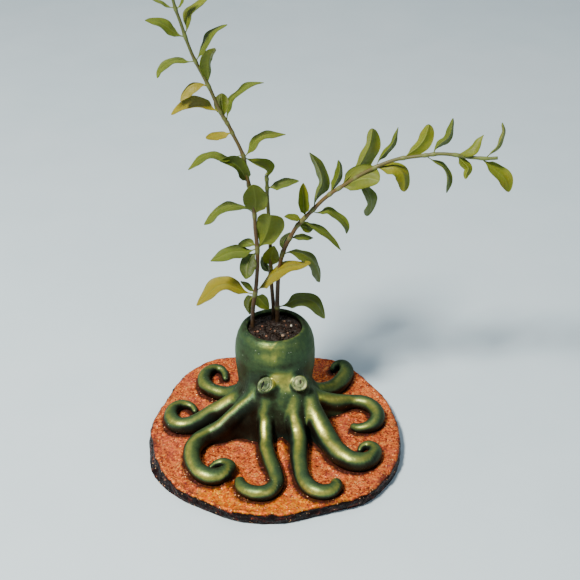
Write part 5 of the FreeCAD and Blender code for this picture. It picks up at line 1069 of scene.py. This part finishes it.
def leaf_points(leaf, nt, ns):
    """The middle sheet of one leaf as a grid of points with its normals, and its shading numbers."""
    name, group, stem, pts, wl, wr, fl, fr, p, q, tint = leaf
    t = np.linspace(0, 1, nt)
    mid = catmull(pts, nt)
    tan = unit(np.gradient(mid, axis=0))
    across = unit(np.cross(tan, FRONT))
    deep = unit(np.cross(across, tan))
    seed = sum(ord(c) * (i + 3) for i, c in enumerate(name))
    w = np.sin(math.pi * np.clip(t, 0, 1) ** p) ** q * np.clip((t - 0.04) / 0.22, 0, 1) ** 1.2
    fl, fr = math.radians(fl), math.radians(fr)
    ld = across * math.cos(fl) + deep * math.sin(fl)
    rd = -across * math.cos(fr) + deep * math.sin(fr)
    nl, nr = unit(np.cross(ld, tan)), unit(np.cross(tan, rd))
    s = np.linspace(-1, 1, 2 * ns + 1)
    grid = np.zeros((nt, 2 * ns + 1, 3))
    for k, sv in enumerate(s):
        side, wide, nn = (ld, wl, nl) if sv > 0 else (rd, wr, nr)
        u = abs(sv)
        half = np.maximum(w * wide, 0.42)
        body = np.clip(half / 2.5, 0, 1)
        # the blade bellies between midrib and edge, curls and ripples a little
        belly = 0.09 * half * math.sin(math.pi * u)
        curl = half * 0.11 * u ** 3 * math.sin(seed + (1 if sv > 0 else 2.1))
        ripple = 0.05 * half * u ** 2 * np.sin(t * 15 + seed + 2 * sv)
        vein = 0.06 * np.abs(np.sin((t * 9 - u * 1.3) * math.pi)) ** 3 * math.sin(math.pi * min(1, u * 1.1))
        grid[:, k] = mid + side * (half * u)[:, None] + nn * ((belly + curl + ripple - vein) * body)[:, None]
    du = np.gradient(grid, axis=1)
    dt = np.gradient(grid, axis=0)
    nor = unit(np.cross(du, dt))
    if (nor[nt // 2, ns] @ (nl[nt // 2] + nr[nt // 2])) < 0:
        nor = -nor
    rib = np.exp(-(s / 0.085) ** 2)
    return t, s, grid, nor, w, rib, seed, TINTS[tint]


def leaf_group(group):
    """All leaves of one node, each a thin closed blade."""
    nt, ns = ((44, 12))
    V, faces = [], []
    att = {k: [] for k in ("t", "s", "tint", "seed", "rib", "top")}
    for leaf in [l for l in LEAVES if l[1] == group]:
        t, s, G, nor, w, rib, seed, tint = leaf_points(leaf, nt, ns)
        th_mid = 0.52 * np.clip(1.15 - 0.75 * t, 0.25, 1)
        th = 0.16 + (th_mid[:, None] - 0.16) * rib[None, :] * 0.8
        groove = 0.10 * rib[None, :] * np.clip(w * 3, 0, 1)[:, None]
        front = G + nor * (th * 0.4 - groove)[:, :, None]
        back = G - nor * (th * 0.6)[:, :, None]
        base = sum(len(v) for v in V)
        m = len(s)
        V.append(front.reshape(-1, 3))
        V.append(back.reshape(-1, 3))
        for top in (1.0, 0.0):
            att["t"] += list(np.repeat(t, m))
            att["s"] += list(np.tile(s, nt))
            att["tint"] += [tint] * (nt * m)
            att["seed"] += [(seed * 0.61803) % 1.0] * (nt * m)
            att["rib"] += list(np.tile(rib, nt))
            att["top"] += [top] * (nt * m)
        off = base + nt * m
        i, k = np.meshgrid(np.arange(nt - 1), np.arange(m - 1), indexing="ij")
        i, k = i.ravel(), k.ravel()
        a, b, c, d = i * m + k, i * m + k + 1, (i + 1) * m + k + 1, (i + 1) * m + k
        # which way round the front face runs
        p0, p1, p2 = front[nt // 2, m // 2], front[nt // 2, m // 2 + 1], front[nt // 2 + 1, m // 2]
        turn = np.dot(np.cross(p1 - p0, p2 - p0), nor[nt // 2, m // 2]) > 0
        f1 = np.stack([a, b, c, d], 1) if turn else np.stack([a, d, c, b], 1)
        faces += (base + f1).tolist()
        faces += (off + f1[:, ::-1]).tolist()
        # the edges between the two faces
        def strip(idx):
            idx = np.asarray(idx)
            q = np.stack([base + idx[:-1], off + idx[:-1], off + idx[1:], base + idx[1:]], 1)
            return q
        i = np.arange(nt)
        k = np.arange(m)
        loops = [strip(i * m), strip((i * m + m - 1))[:, ::-1], strip(k)[:, ::-1], strip((nt - 1) * m + k)]
        for q in loops:
            faces += (q if turn else q[:, ::-1]).tolist()
    return new_mesh("blades_" + group, np.concatenate(V), faces, att)


groups = sorted({l[1] for l in LEAVES})
leaves = {g: leaf_group(g) for g in groups}


# -------------------------------------------------------------- node helpers
class Net:
    """A material's nodes, with constants set straight on the sockets."""

    def __init__(self, name):
        self.mat = bpy.data.materials.new(name)
        self.mat.use_nodes = True
        self.t = self.mat.node_tree
        self.out = self.t.nodes["Principled BSDF"]

    def add(self, kind, ins=None, out=0, **props):
        n = self.t.nodes.new(kind)
        for k, v in props.items():
            setattr(n, k, v)
        for k, v in (ins or {}).items():
            s = n.inputs[k]
            if isinstance(v, bpy.types.NodeSocket):
                self.t.links.new(v, s)
            else:
                s.default_value = v
        return n.outputs[out]

    def attr(self, name):
        return self.add("ShaderNodeAttribute", {}, "Fac", attribute_name=name)

    def coords(self):
        return self.add("ShaderNodeTexCoord", {}, "Object")

    def noise(self, vec, scale, detail=3.0, rough=0.55, out="Fac"):
        return self.add("ShaderNodeTexNoise", {"Vector": vec, "Scale": scale, "Detail": detail, "Roughness": rough}, out)

    def math(self, op, a, b=0.0, clamp=False):
        return self.add("ShaderNodeMath", {0: a, 1: b}, operation=op, use_clamp=clamp)

    def remap(self, v, a, b, c=0.0, d=1.0):
        return self.add("ShaderNodeMapRange", {"Value": v, "From Min": a, "From Max": b, "To Min": c, "To Max": d})

    def ramp(self, v, stops, mode="LINEAR"):
        n = self.t.nodes.new("ShaderNodeValToRGB")
        n.color_ramp.interpolation = mode
        e = n.color_ramp.elements
        while len(e) < len(stops):
            e.new(0.5)
        for el, (p, c) in zip(e, stops):
            el.position = p
            el.color = (*c, 1.0)
        self.t.links.new(v, n.inputs["Fac"])
        return n.outputs["Color"]

    def mix(self, f, a, b, mode="MIX"):
        n = self.t.nodes.new("ShaderNodeMix")
        n.data_type = "RGBA"
        n.blend_type = mode
        for key, v in ((0, f), (6, a), (7, b)):
            if isinstance(v, bpy.types.NodeSocket):
                self.t.links.new(v, n.inputs[key])
            else:
                n.inputs[key].default_value = v if key == 0 else (*v, 1.0)
        return n.outputs[2]

    def bump(self, height, strength, distance, normal=None):
        ins = {"Height": height, "Strength": strength, "Distance": distance}
        if normal is not None:
            ins["Normal"] = normal
        return self.add("ShaderNodeBump", ins, "Normal")

    def set(self, **kw):
        for k, v in kw.items():
            s = self.out.inputs[k.replace("_", " ")]
            if isinstance(v, bpy.types.NodeSocket):
                self.t.links.new(v, s)
            else:
                s.default_value = v
        return self.mat


def sparkle(net, vec, scale, keep):
    """1 on a few random cells, 0 elsewhere."""
    col = net.add("ShaderNodeTexVoronoi", {"Vector": vec, "Scale": scale}, "Color")
    sep = net.add("ShaderNodeSeparateColor", {"Color": col}, 0)
    return net.math("GREATER_THAN", sep, keep)


def green_paint():
    n = Net("pearl_green_paint")
    v = n.coords()
    big = n.noise(v, 110.0, 3.0)
    mid = n.noise(v, 420.0, 4.0, 0.6)
    fine = n.noise(v, 1500.0, 3.0, 0.6)
    tone = n.math("ADD", n.attr("shade"), n.remap(big, 0.3, 0.7, -0.06, 0.06))
    tone = n.math("ADD", tone, n.remap(mid, 0.3, 0.7, -0.06, 0.06))
    tone = n.math("ADD", tone, n.remap(fine, 0.3, 0.7, -0.03, 0.03))
    col = n.ramp(tone, [(0.0, (0.009, 0.006, 0.004)), (0.12, (0.014, 0.011, 0.007)), (0.24, (0.025, 0.031, 0.016)),
                        (0.38, (0.042, 0.076, 0.034)), (0.52, (0.092, 0.140, 0.044)), (0.66, (0.190, 0.228, 0.056)),
                        (0.82, (0.375, 0.375, 0.078)), (1.0, (0.660, 0.600, 0.125))])
    cool = n.remap(n.noise(v, 60.0, 2.0), 0.45, 0.62, 0.0, 0.35)
    col = n.mix(cool, col, n.mix(0.5, col, (0.020, 0.075, 0.060)))
    # painted shade where the octopus meets the slab
    contact_shade = n.remap(n.attr("foot"), 0.0, 1.0, 0.0, 0.85)
    col = n.mix(contact_shade, col, (0.012, 0.008, 0.006))
    # painted glints: rare pale flecks on the paint
    fleck = sparkle(n, v, 3200.0, 0.9993)
    col = n.mix(n.math("MULTIPLY", fleck, 0.45), col, (0.80, 0.85, 0.70))
    pits = n.remap(fine, 0.66, 0.76, 0.0, 0.5)
    col = n.mix(pits, col, (0.010, 0.018, 0.010))
    rough = n.math("SUBTRACT", n.remap(mid, 0.25, 0.75, 0.38, 0.52), n.remap(tone, 0.5, 0.9, 0.0, 0.08))
    metal = n.remap(tone, 0.30, 0.80, 0.40, 0.80)
    nor = n.bump(fine, 0.25, 0.00018)
    nor = n.bump(mid, 0.35, 0.00035, nor)
    return n.set(Base_Color=col, Metallic=metal, Roughness=rough, Normal=nor, Specular_IOR_Level=0.18, Specular_Tint=(0.60, 0.75, 0.40, 1.0))


def glitter_mix():
    n = Net("copper_glitter_resin")
    v = n.coords()
    warp = n.noise(v, 900.0, 2.0, 0.5, "Color")
    vv = n.add("ShaderNodeVectorMath", {0: v, 1: n.add("ShaderNodeVectorMath", {0: warp, 3: 0.0006}, operation="SCALE")}, operation="ADD")
    cell = n.add("ShaderNodeTexVoronoi", {"Vector": vv, "Scale": 1200.0}, "Color")
    cell2 = n.add("ShaderNodeTexVoronoi", {"Vector": vv, "Scale": 2400.0}, "Color")
    r1 = n.add("ShaderNodeSeparateColor", {"Color": cell}, 0)
    r2 = n.add("ShaderNodeSeparateColor", {"Color": cell2}, 1)
    mid = n.noise(v, 240.0, 4.0, 0.6)
    fine = n.noise(v, 1600.0, 3.0, 0.6)
    pick = n.math("ADD", n.math("MULTIPLY", r1, 0.55), n.math("MULTIPLY", r2, 0.42))
    pick = n.math("ADD", pick, n.remap(mid, 0.3, 0.7, -0.14, 0.14))
    col = n.ramp(pick, [(0.0, (0.052, 0.010, 0.007)), (0.22, (0.225, 0.034, 0.013)), (0.42, (0.570, 0.102, 0.026)),
                        (0.60, (0.840, 0.190, 0.040)), (0.78, (0.950, 0.300, 0.062)), (0.95, (0.990, 0.490, 0.130))])
    rosy = n.remap(n.noise(v, 95.0, 3.0, 0.6), 0.48, 0.64, 0.0, 0.42)
    col = n.mix(rosy, col, (0.520, 0.098, 0.062))
    gold = n.math("MULTIPLY", n.attr("gilt"), n.remap(n.math("ADD", mid, n.math("MULTIPLY", r2, 0.25)), 0.42, 0.72, 0.25, 1.0))
    col = n.mix(gold, col, n.ramp(r1, [(0.0, (0.560, 0.080, 0.003)), (0.5, (0.820, 0.180, 0.004)), (1.0, (1.000, 0.450, 0.014))]))
    # painted contact shade on the slab round the limbs
    dark = n.remap(n.math("ADD", n.attr("near"), n.remap(mid, 0.3, 0.7, -0.05, 0.05)), 0.03, 0.18, 0.94, 0.0)
    col = n.mix(dark, col, (0.040, 0.012, 0.009))
    plum = sparkle(n, vv, 1700.0, 0.950)
    col = n.mix(n.math("MULTIPLY", plum, 0.65), col, (0.085, 0.020, 0.040))
    stain = n.math("MULTIPLY", n.remap(n.attr("rim"), 0.55, 0.98, 0.0, 1.0), n.remap(n.noise(v, 150.0, 3.0, 0.6), 0.50, 0.60, 0.0, 0.75))
    col = n.mix(stain, col, (0.110, 0.022, 0.020))
    edge = n.remap(n.math("ADD", n.attr("rim"), n.remap(mid, 0.3, 0.7, -0.05, 0.05)), 1.02, 1.12, 0.0, 1.0)
    side = n.ramp(n.noise(v, 300.0, 4.0, 0.65), [(0.36, (0.004, 0.0015, 0.0015)), (0.54, (0.010, 0.003, 0.003)), (0.65, (0.075, 0.014, 0.010)), (0.74, (0.480, 0.085, 0.018))])
    col = n.mix(edge, col, side)
    glint = n.math("MULTIPLY", sparkle(n, vv, 2100.0, 0.990), n.remap(edge, 0.0, 1.0, 1.0, 0.6))
    col = n.mix(glint, col, (1.0, 0.52, 0.25))
    rnd = n.add("ShaderNodeVectorMath", {0: cell, 1: (0.5, 0.5, 0.5)}, operation="SUBTRACT")
    rnd2 = n.add("ShaderNodeVectorMath", {0: cell2, 1: (0.5, 0.5, 0.5)}, operation="SUBTRACT")
    mixn = n.add("ShaderNodeVectorMath", {0: n.add("ShaderNodeVectorMath", {0: rnd, 3: 0.60}, operation="SCALE"),
                                          1: n.add("ShaderNodeVectorMath", {0: rnd2, 3: 0.45}, operation="SCALE")}, operation="ADD")
    base = n.bump(fine, 0.45, 0.0003)
    nor = n.add("ShaderNodeVectorMath", {0: n.add("ShaderNodeVectorMath", {0: base, 1: mixn}, operation="ADD")}, operation="NORMALIZE")
    rough = n.remap(r2, 0.0, 1.0, 0.34, 0.60)
    metal = n.remap(edge, 0.0, 1.0, 0.50, 0.20)
    return n.set(Base_Color=col, Metallic=metal, Roughness=rough, Normal=nor, Specular_IOR_Level=0.08)


def eye_paint():
    n = Net("pale_green_eye")
    v = n.coords()
    mid = n.noise(v, 420.0, 4.0, 0.6)
    fine = n.noise(v, 1500.0, 3.0, 0.6)
    tone = n.math("ADD", mid, n.remap(n.attr("ring"), 0.0, 1.0, -0.12, 0.12))
    col = n.ramp(tone, [(0.30, (0.030, 0.052, 0.022)), (0.44, (0.080, 0.118, 0.046)), (0.58, (0.175, 0.215, 0.085)), (0.74, (0.340, 0.350, 0.150))])
    groove = n.remap(n.attr("groove"), 0.05, 0.9, 0.0, 0.85)
    col = n.mix(groove, col, (0.014, 0.026, 0.012))
    # painted glints: pale flecks on the eye paint
    fleck = sparkle(n, v, 3000.0, 0.992)
    col = n.mix(n.math("MULTIPLY", fleck, 0.6), col, (0.8, 0.85, 0.7))
    rough = n.remap(mid, 0.25, 0.75, 0.42, 0.58)
    nor = n.bump(fine, 0.35, 0.0002)
    nor = n.bump(mid, 0.45, 0.0004, nor)
    return n.set(Base_Color=col, Metallic=0.35, Roughness=rough, Normal=nor, Specular_IOR_Level=0.35)


def pupil_paint(name, dark, light):
    n = Net(name)
    v = n.coords()
    mid = n.noise(v, 900.0, 4.0, 0.6)
    col = n.ramp(mid, [(0.30, dark), (0.70, light)])
    rough = n.remap(mid, 0.25, 0.75, 0.50, 0.66)
    return n.set(Base_Color=col, Roughness=rough, Normal=n.bump(mid, 0.2, 0.0001), Specular_IOR_Level=0.18)


def soil_look(name, dark):
    n = Net(name)
    v = n.coords()
    mid = n.noise(v, 700.0, 5.0, 0.65)
    fine = n.noise(v, 2600.0, 3.0, 0.6)
    col = n.ramp(mid, [(0.30, (0.003, 0.002, 0.001)), (0.50, tuple(dark)), (0.66, (0.026, 0.013, 0.008)), (0.80, (0.070, 0.030, 0.018))])
    fleck = sparkle(n, v, 2300.0, 0.994)
    col = n.mix(n.math("MULTIPLY", fleck, 0.6), col, (0.34, 0.13, 0.07))
    rough = n.remap(mid, 0.35, 0.7, 0.30, 0.80)
    nor = n.bump(fine, 0.5, 0.0002)
    nor = n.bump(mid, 0.7, 0.0006, nor)
    return n.set(Base_Color=col, Roughness=rough, Normal=nor, Specular_IOR_Level=0.25)


def grit_look():
    n = Net("pale_pumice")
    v = n.coords()
    mid = n.noise(v, 900.0, 4.0, 0.65)
    fine = n.noise(v, 3200.0, 3.0, 0.6)
    tone = n.attr("tone")
    col = n.ramp(tone, [(0.0, (0.100, 0.060, 0.035)), (0.35, (0.170, 0.085, 0.045)), (0.62, (0.260, 0.090, 0.050)), (0.88, (0.240, 0.170, 0.110)), (0.96, (0.620, 0.590, 0.500))])
    col = n.mix(n.remap(mid, 0.45, 0.72, 0.0, 0.6), col, (0.060, 0.032, 0.018))
    return n.set(Base_Color=col, Roughness=n.remap(mid, 0.3, 0.7, 0.55, 0.85), Normal=n.bump(fine, 0.6, 0.0003))


def stem_look():
    n = Net("plant_stem")
    v = n.coords()
    mid = n.noise(v, 450.0, 4.0, 0.6)
    fine = n.noise(v, 1800.0, 3.0, 0.6)
    along = n.math("ADD", n.attr("along"), n.remap(mid, 0.3, 0.7, -0.10, 0.10))
    col = n.ramp(along, [(0.0, (0.026, 0.015, 0.007)), (0.22, (0.075, 0.036, 0.012)), (0.50, (0.100, 0.062, 0.016)),
                         (0.75, (0.085, 0.080, 0.018)), (1.0, (0.090, 0.115, 0.024))])
    col = n.mix(n.remap(n.attr("knot"), 0.2, 1.0, 0.0, 0.55), col, (0.150, 0.190, 0.045))
    return n.set(Base_Color=col, Roughness=n.remap(mid, 0.3, 0.7, 0.40, 0.62), Normal=n.bump(fine, 0.3, 0.0002), Specular_IOR_Level=0.35)


def leaf_look():
    n = Net("glossy_leaf")
    v = n.coords()
    big = n.noise(v, 120.0, 3.0, 0.55)
    mid = n.noise(v, 520.0, 4.0, 0.6)
    tint = n.math("ADD", n.attr("tint"), n.remap(big, 0.3, 0.7, -0.12, 0.12))
    tint = n.math("ADD", tint, n.remap(n.attr("seed"), 0.0, 1.0, -0.05, 0.05))
    tint = n.math("ADD", tint, n.remap(n.attr("t"), 0.5, 1.0, 0.0, 0.06))
    col = n.ramp(tint, [(0.0, (0.042, 0.058, 0.008)), (0.14, (0.058, 0.080, 0.009)), (0.30, (0.086, 0.114, 0.009)),
                        (0.48, (0.102, 0.120, 0.008)), (0.72, (0.135, 0.160, 0.010)), (1.0, (0.200, 0.165, 0.008))])
    rib = n.remap(n.attr("rib"), 0.35, 1.0, 0.0, 0.40)
    col = n.mix(rib, col, (0.190, 0.230, 0.040))
    veins = n.remap(mid, 0.56, 0.70, 0.0, 0.25)
    col = n.mix(veins, col, (0.030, 0.090, 0.012))
    rough = n.remap(mid, 0.25, 0.75, 0.46, 0.64)
    nor = n.bump(mid, 0.25, 0.00025)
    return n.set(Base_Color=col, Roughness=rough, Normal=nor, Specular_IOR_Level=0.28, Subsurface_Weight=0.18, Subsurface_Radius=(0.4, 0.6, 0.1), Subsurface_Scale=0.0012)


def floor_look():
    n = Net("pale_floor")
    v = n.coords()
    big = n.noise(v, 2.2, 2.0, 0.5)
    mid = n.noise(v, 24.0, 3.0, 0.5)
    f = n.math("ADD", n.math("MULTIPLY", big, 0.7), n.math("MULTIPLY", mid, 0.3))
    col = n.ramp(f, [(0.25, (0.53, 0.66, 0.73)), (0.75, (0.64, 0.76, 0.82))])
    return n.set(Base_Color=col, Roughness=n.remap(mid, 0.2, 0.8, 0.80, 0.92))


paint, resin, eye_mat = green_paint(), glitter_mix(), eye_paint()
pupil_mat, worn_mat = pupil_paint("dark_green_pupil", (0.0015, 0.003, 0.002), (0.009, 0.014, 0.008)), pupil_paint("worn_pupil", (0.012, 0.014, 0.007), (0.050, 0.042, 0.020))
earth, earth2, pumice, bark, blade_mat = (soil_look("potting_soil", (0.011, 0.006, 0.004)), soil_look("soil_crumb", (0.017, 0.010, 0.006)),
                                          grit_look(), stem_look(), leaf_look())


def dress(ob, mat, body, nodes):
    ob.data.materials.clear()
    ob.data.materials.append(mat)
    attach(ob, body)
    if nodes:
        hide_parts(*nodes)


for name, ob in octopus.items():
    dress(ob, paint, "figurine", [name])
dress(slab, resin, "figurine", ["base_slab"])
dress(eye_left, eye_mat, "figurine", ["eye_left"])
dress(eye_right, eye_mat, "figurine", ["eye_right"])
dress(pupil_left, pupil_mat, "figurine", ["pupil_left"])
dress(pupil_right, worn_mat, "figurine", ["pupil_right"])
dress(soil, earth, "planting", ["root_ball"])
dress(crumbs, earth2, "planting", [])
dress(grit, pumice, "planting", ["pumice_grit"])
for key, ob in stems.items():
    dress(ob, bark, "planting", ["stem_" + key])
for g, ob in leaves.items():
    dress(ob, blade_mat, "planting", ["leaves_" + g])


# ------------------------------------------------- floor, light and camera
def floor_mesh():
    v = [(-1.6, -1.2, 0), (1.6, -1.2, 0), (1.6, 2.6, 0), (-1.6, 2.6, 0),
         (-1.6, -1.2, -0.01), (1.6, -1.2, -0.01), (1.6, 2.6, -0.01), (-1.6, 2.6, -0.01)]
    f = [(0, 1, 2, 3), (7, 6, 5, 4), (0, 4, 5, 1), (1, 5, 6, 2), (2, 6, 7, 3), (3, 7, 4, 0)]
    return new_mesh("plain_floor", np.array(v) * 1000.0 - (0, 0, 0.05), f, smooth=False)


floor = floor_mesh()
floor.data.materials.append(floor_look())


def area(name, place, aim, size, power, colour):
    from mathutils import Vector
    data = bpy.data.lights.new(name, "AREA")
    data.shape = "DISK"
    data.size = size
    data.energy = power
    data.color = colour
    ob = bpy.data.objects.new(name, data)
    ob.location = place
    ob.rotation_euler = (Vector(aim) - Vector(place)).to_track_quat("-Z", "Y").to_euler()
    bpy.context.scene.collection.objects.link(ob)
    return ob


area("key", (-0.46, -0.44, 1.04), (0, 0, 0.05), 0.22, 29.0, (1.0, 0.95, 0.86))
area("soft", (-0.15, 0.45, 1.05), (0, 0, 0.06), 0.9, 2.4, (0.92, 0.96, 1.0))
area("fill", (0.7, -0.9, 0.8), (0, 0, 0.06), 0.8, 2.2, (0.84, 0.92, 1.0))
world = bpy.data.worlds.new("studio")
world.use_nodes = True
world.node_tree.nodes["Background"].inputs[0].default_value = (0.70, 0.83, 0.96, 1)
world.node_tree.nodes["Background"].inputs[1].default_value = 0.27
bpy.context.scene.world = world

cam_data = bpy.data.cameras.new("camera")
cam_data.lens = 74.48
cam_data.sensor_width = 36.0
cam = bpy.data.objects.new("camera", cam_data)
cam.location = (0.0080, -0.4589, 0.3683)
cam.rotation_euler = (math.radians(58.3), 0, 0)
bpy.context.scene.collection.objects.link(cam)
bpy.context.scene.camera = cam
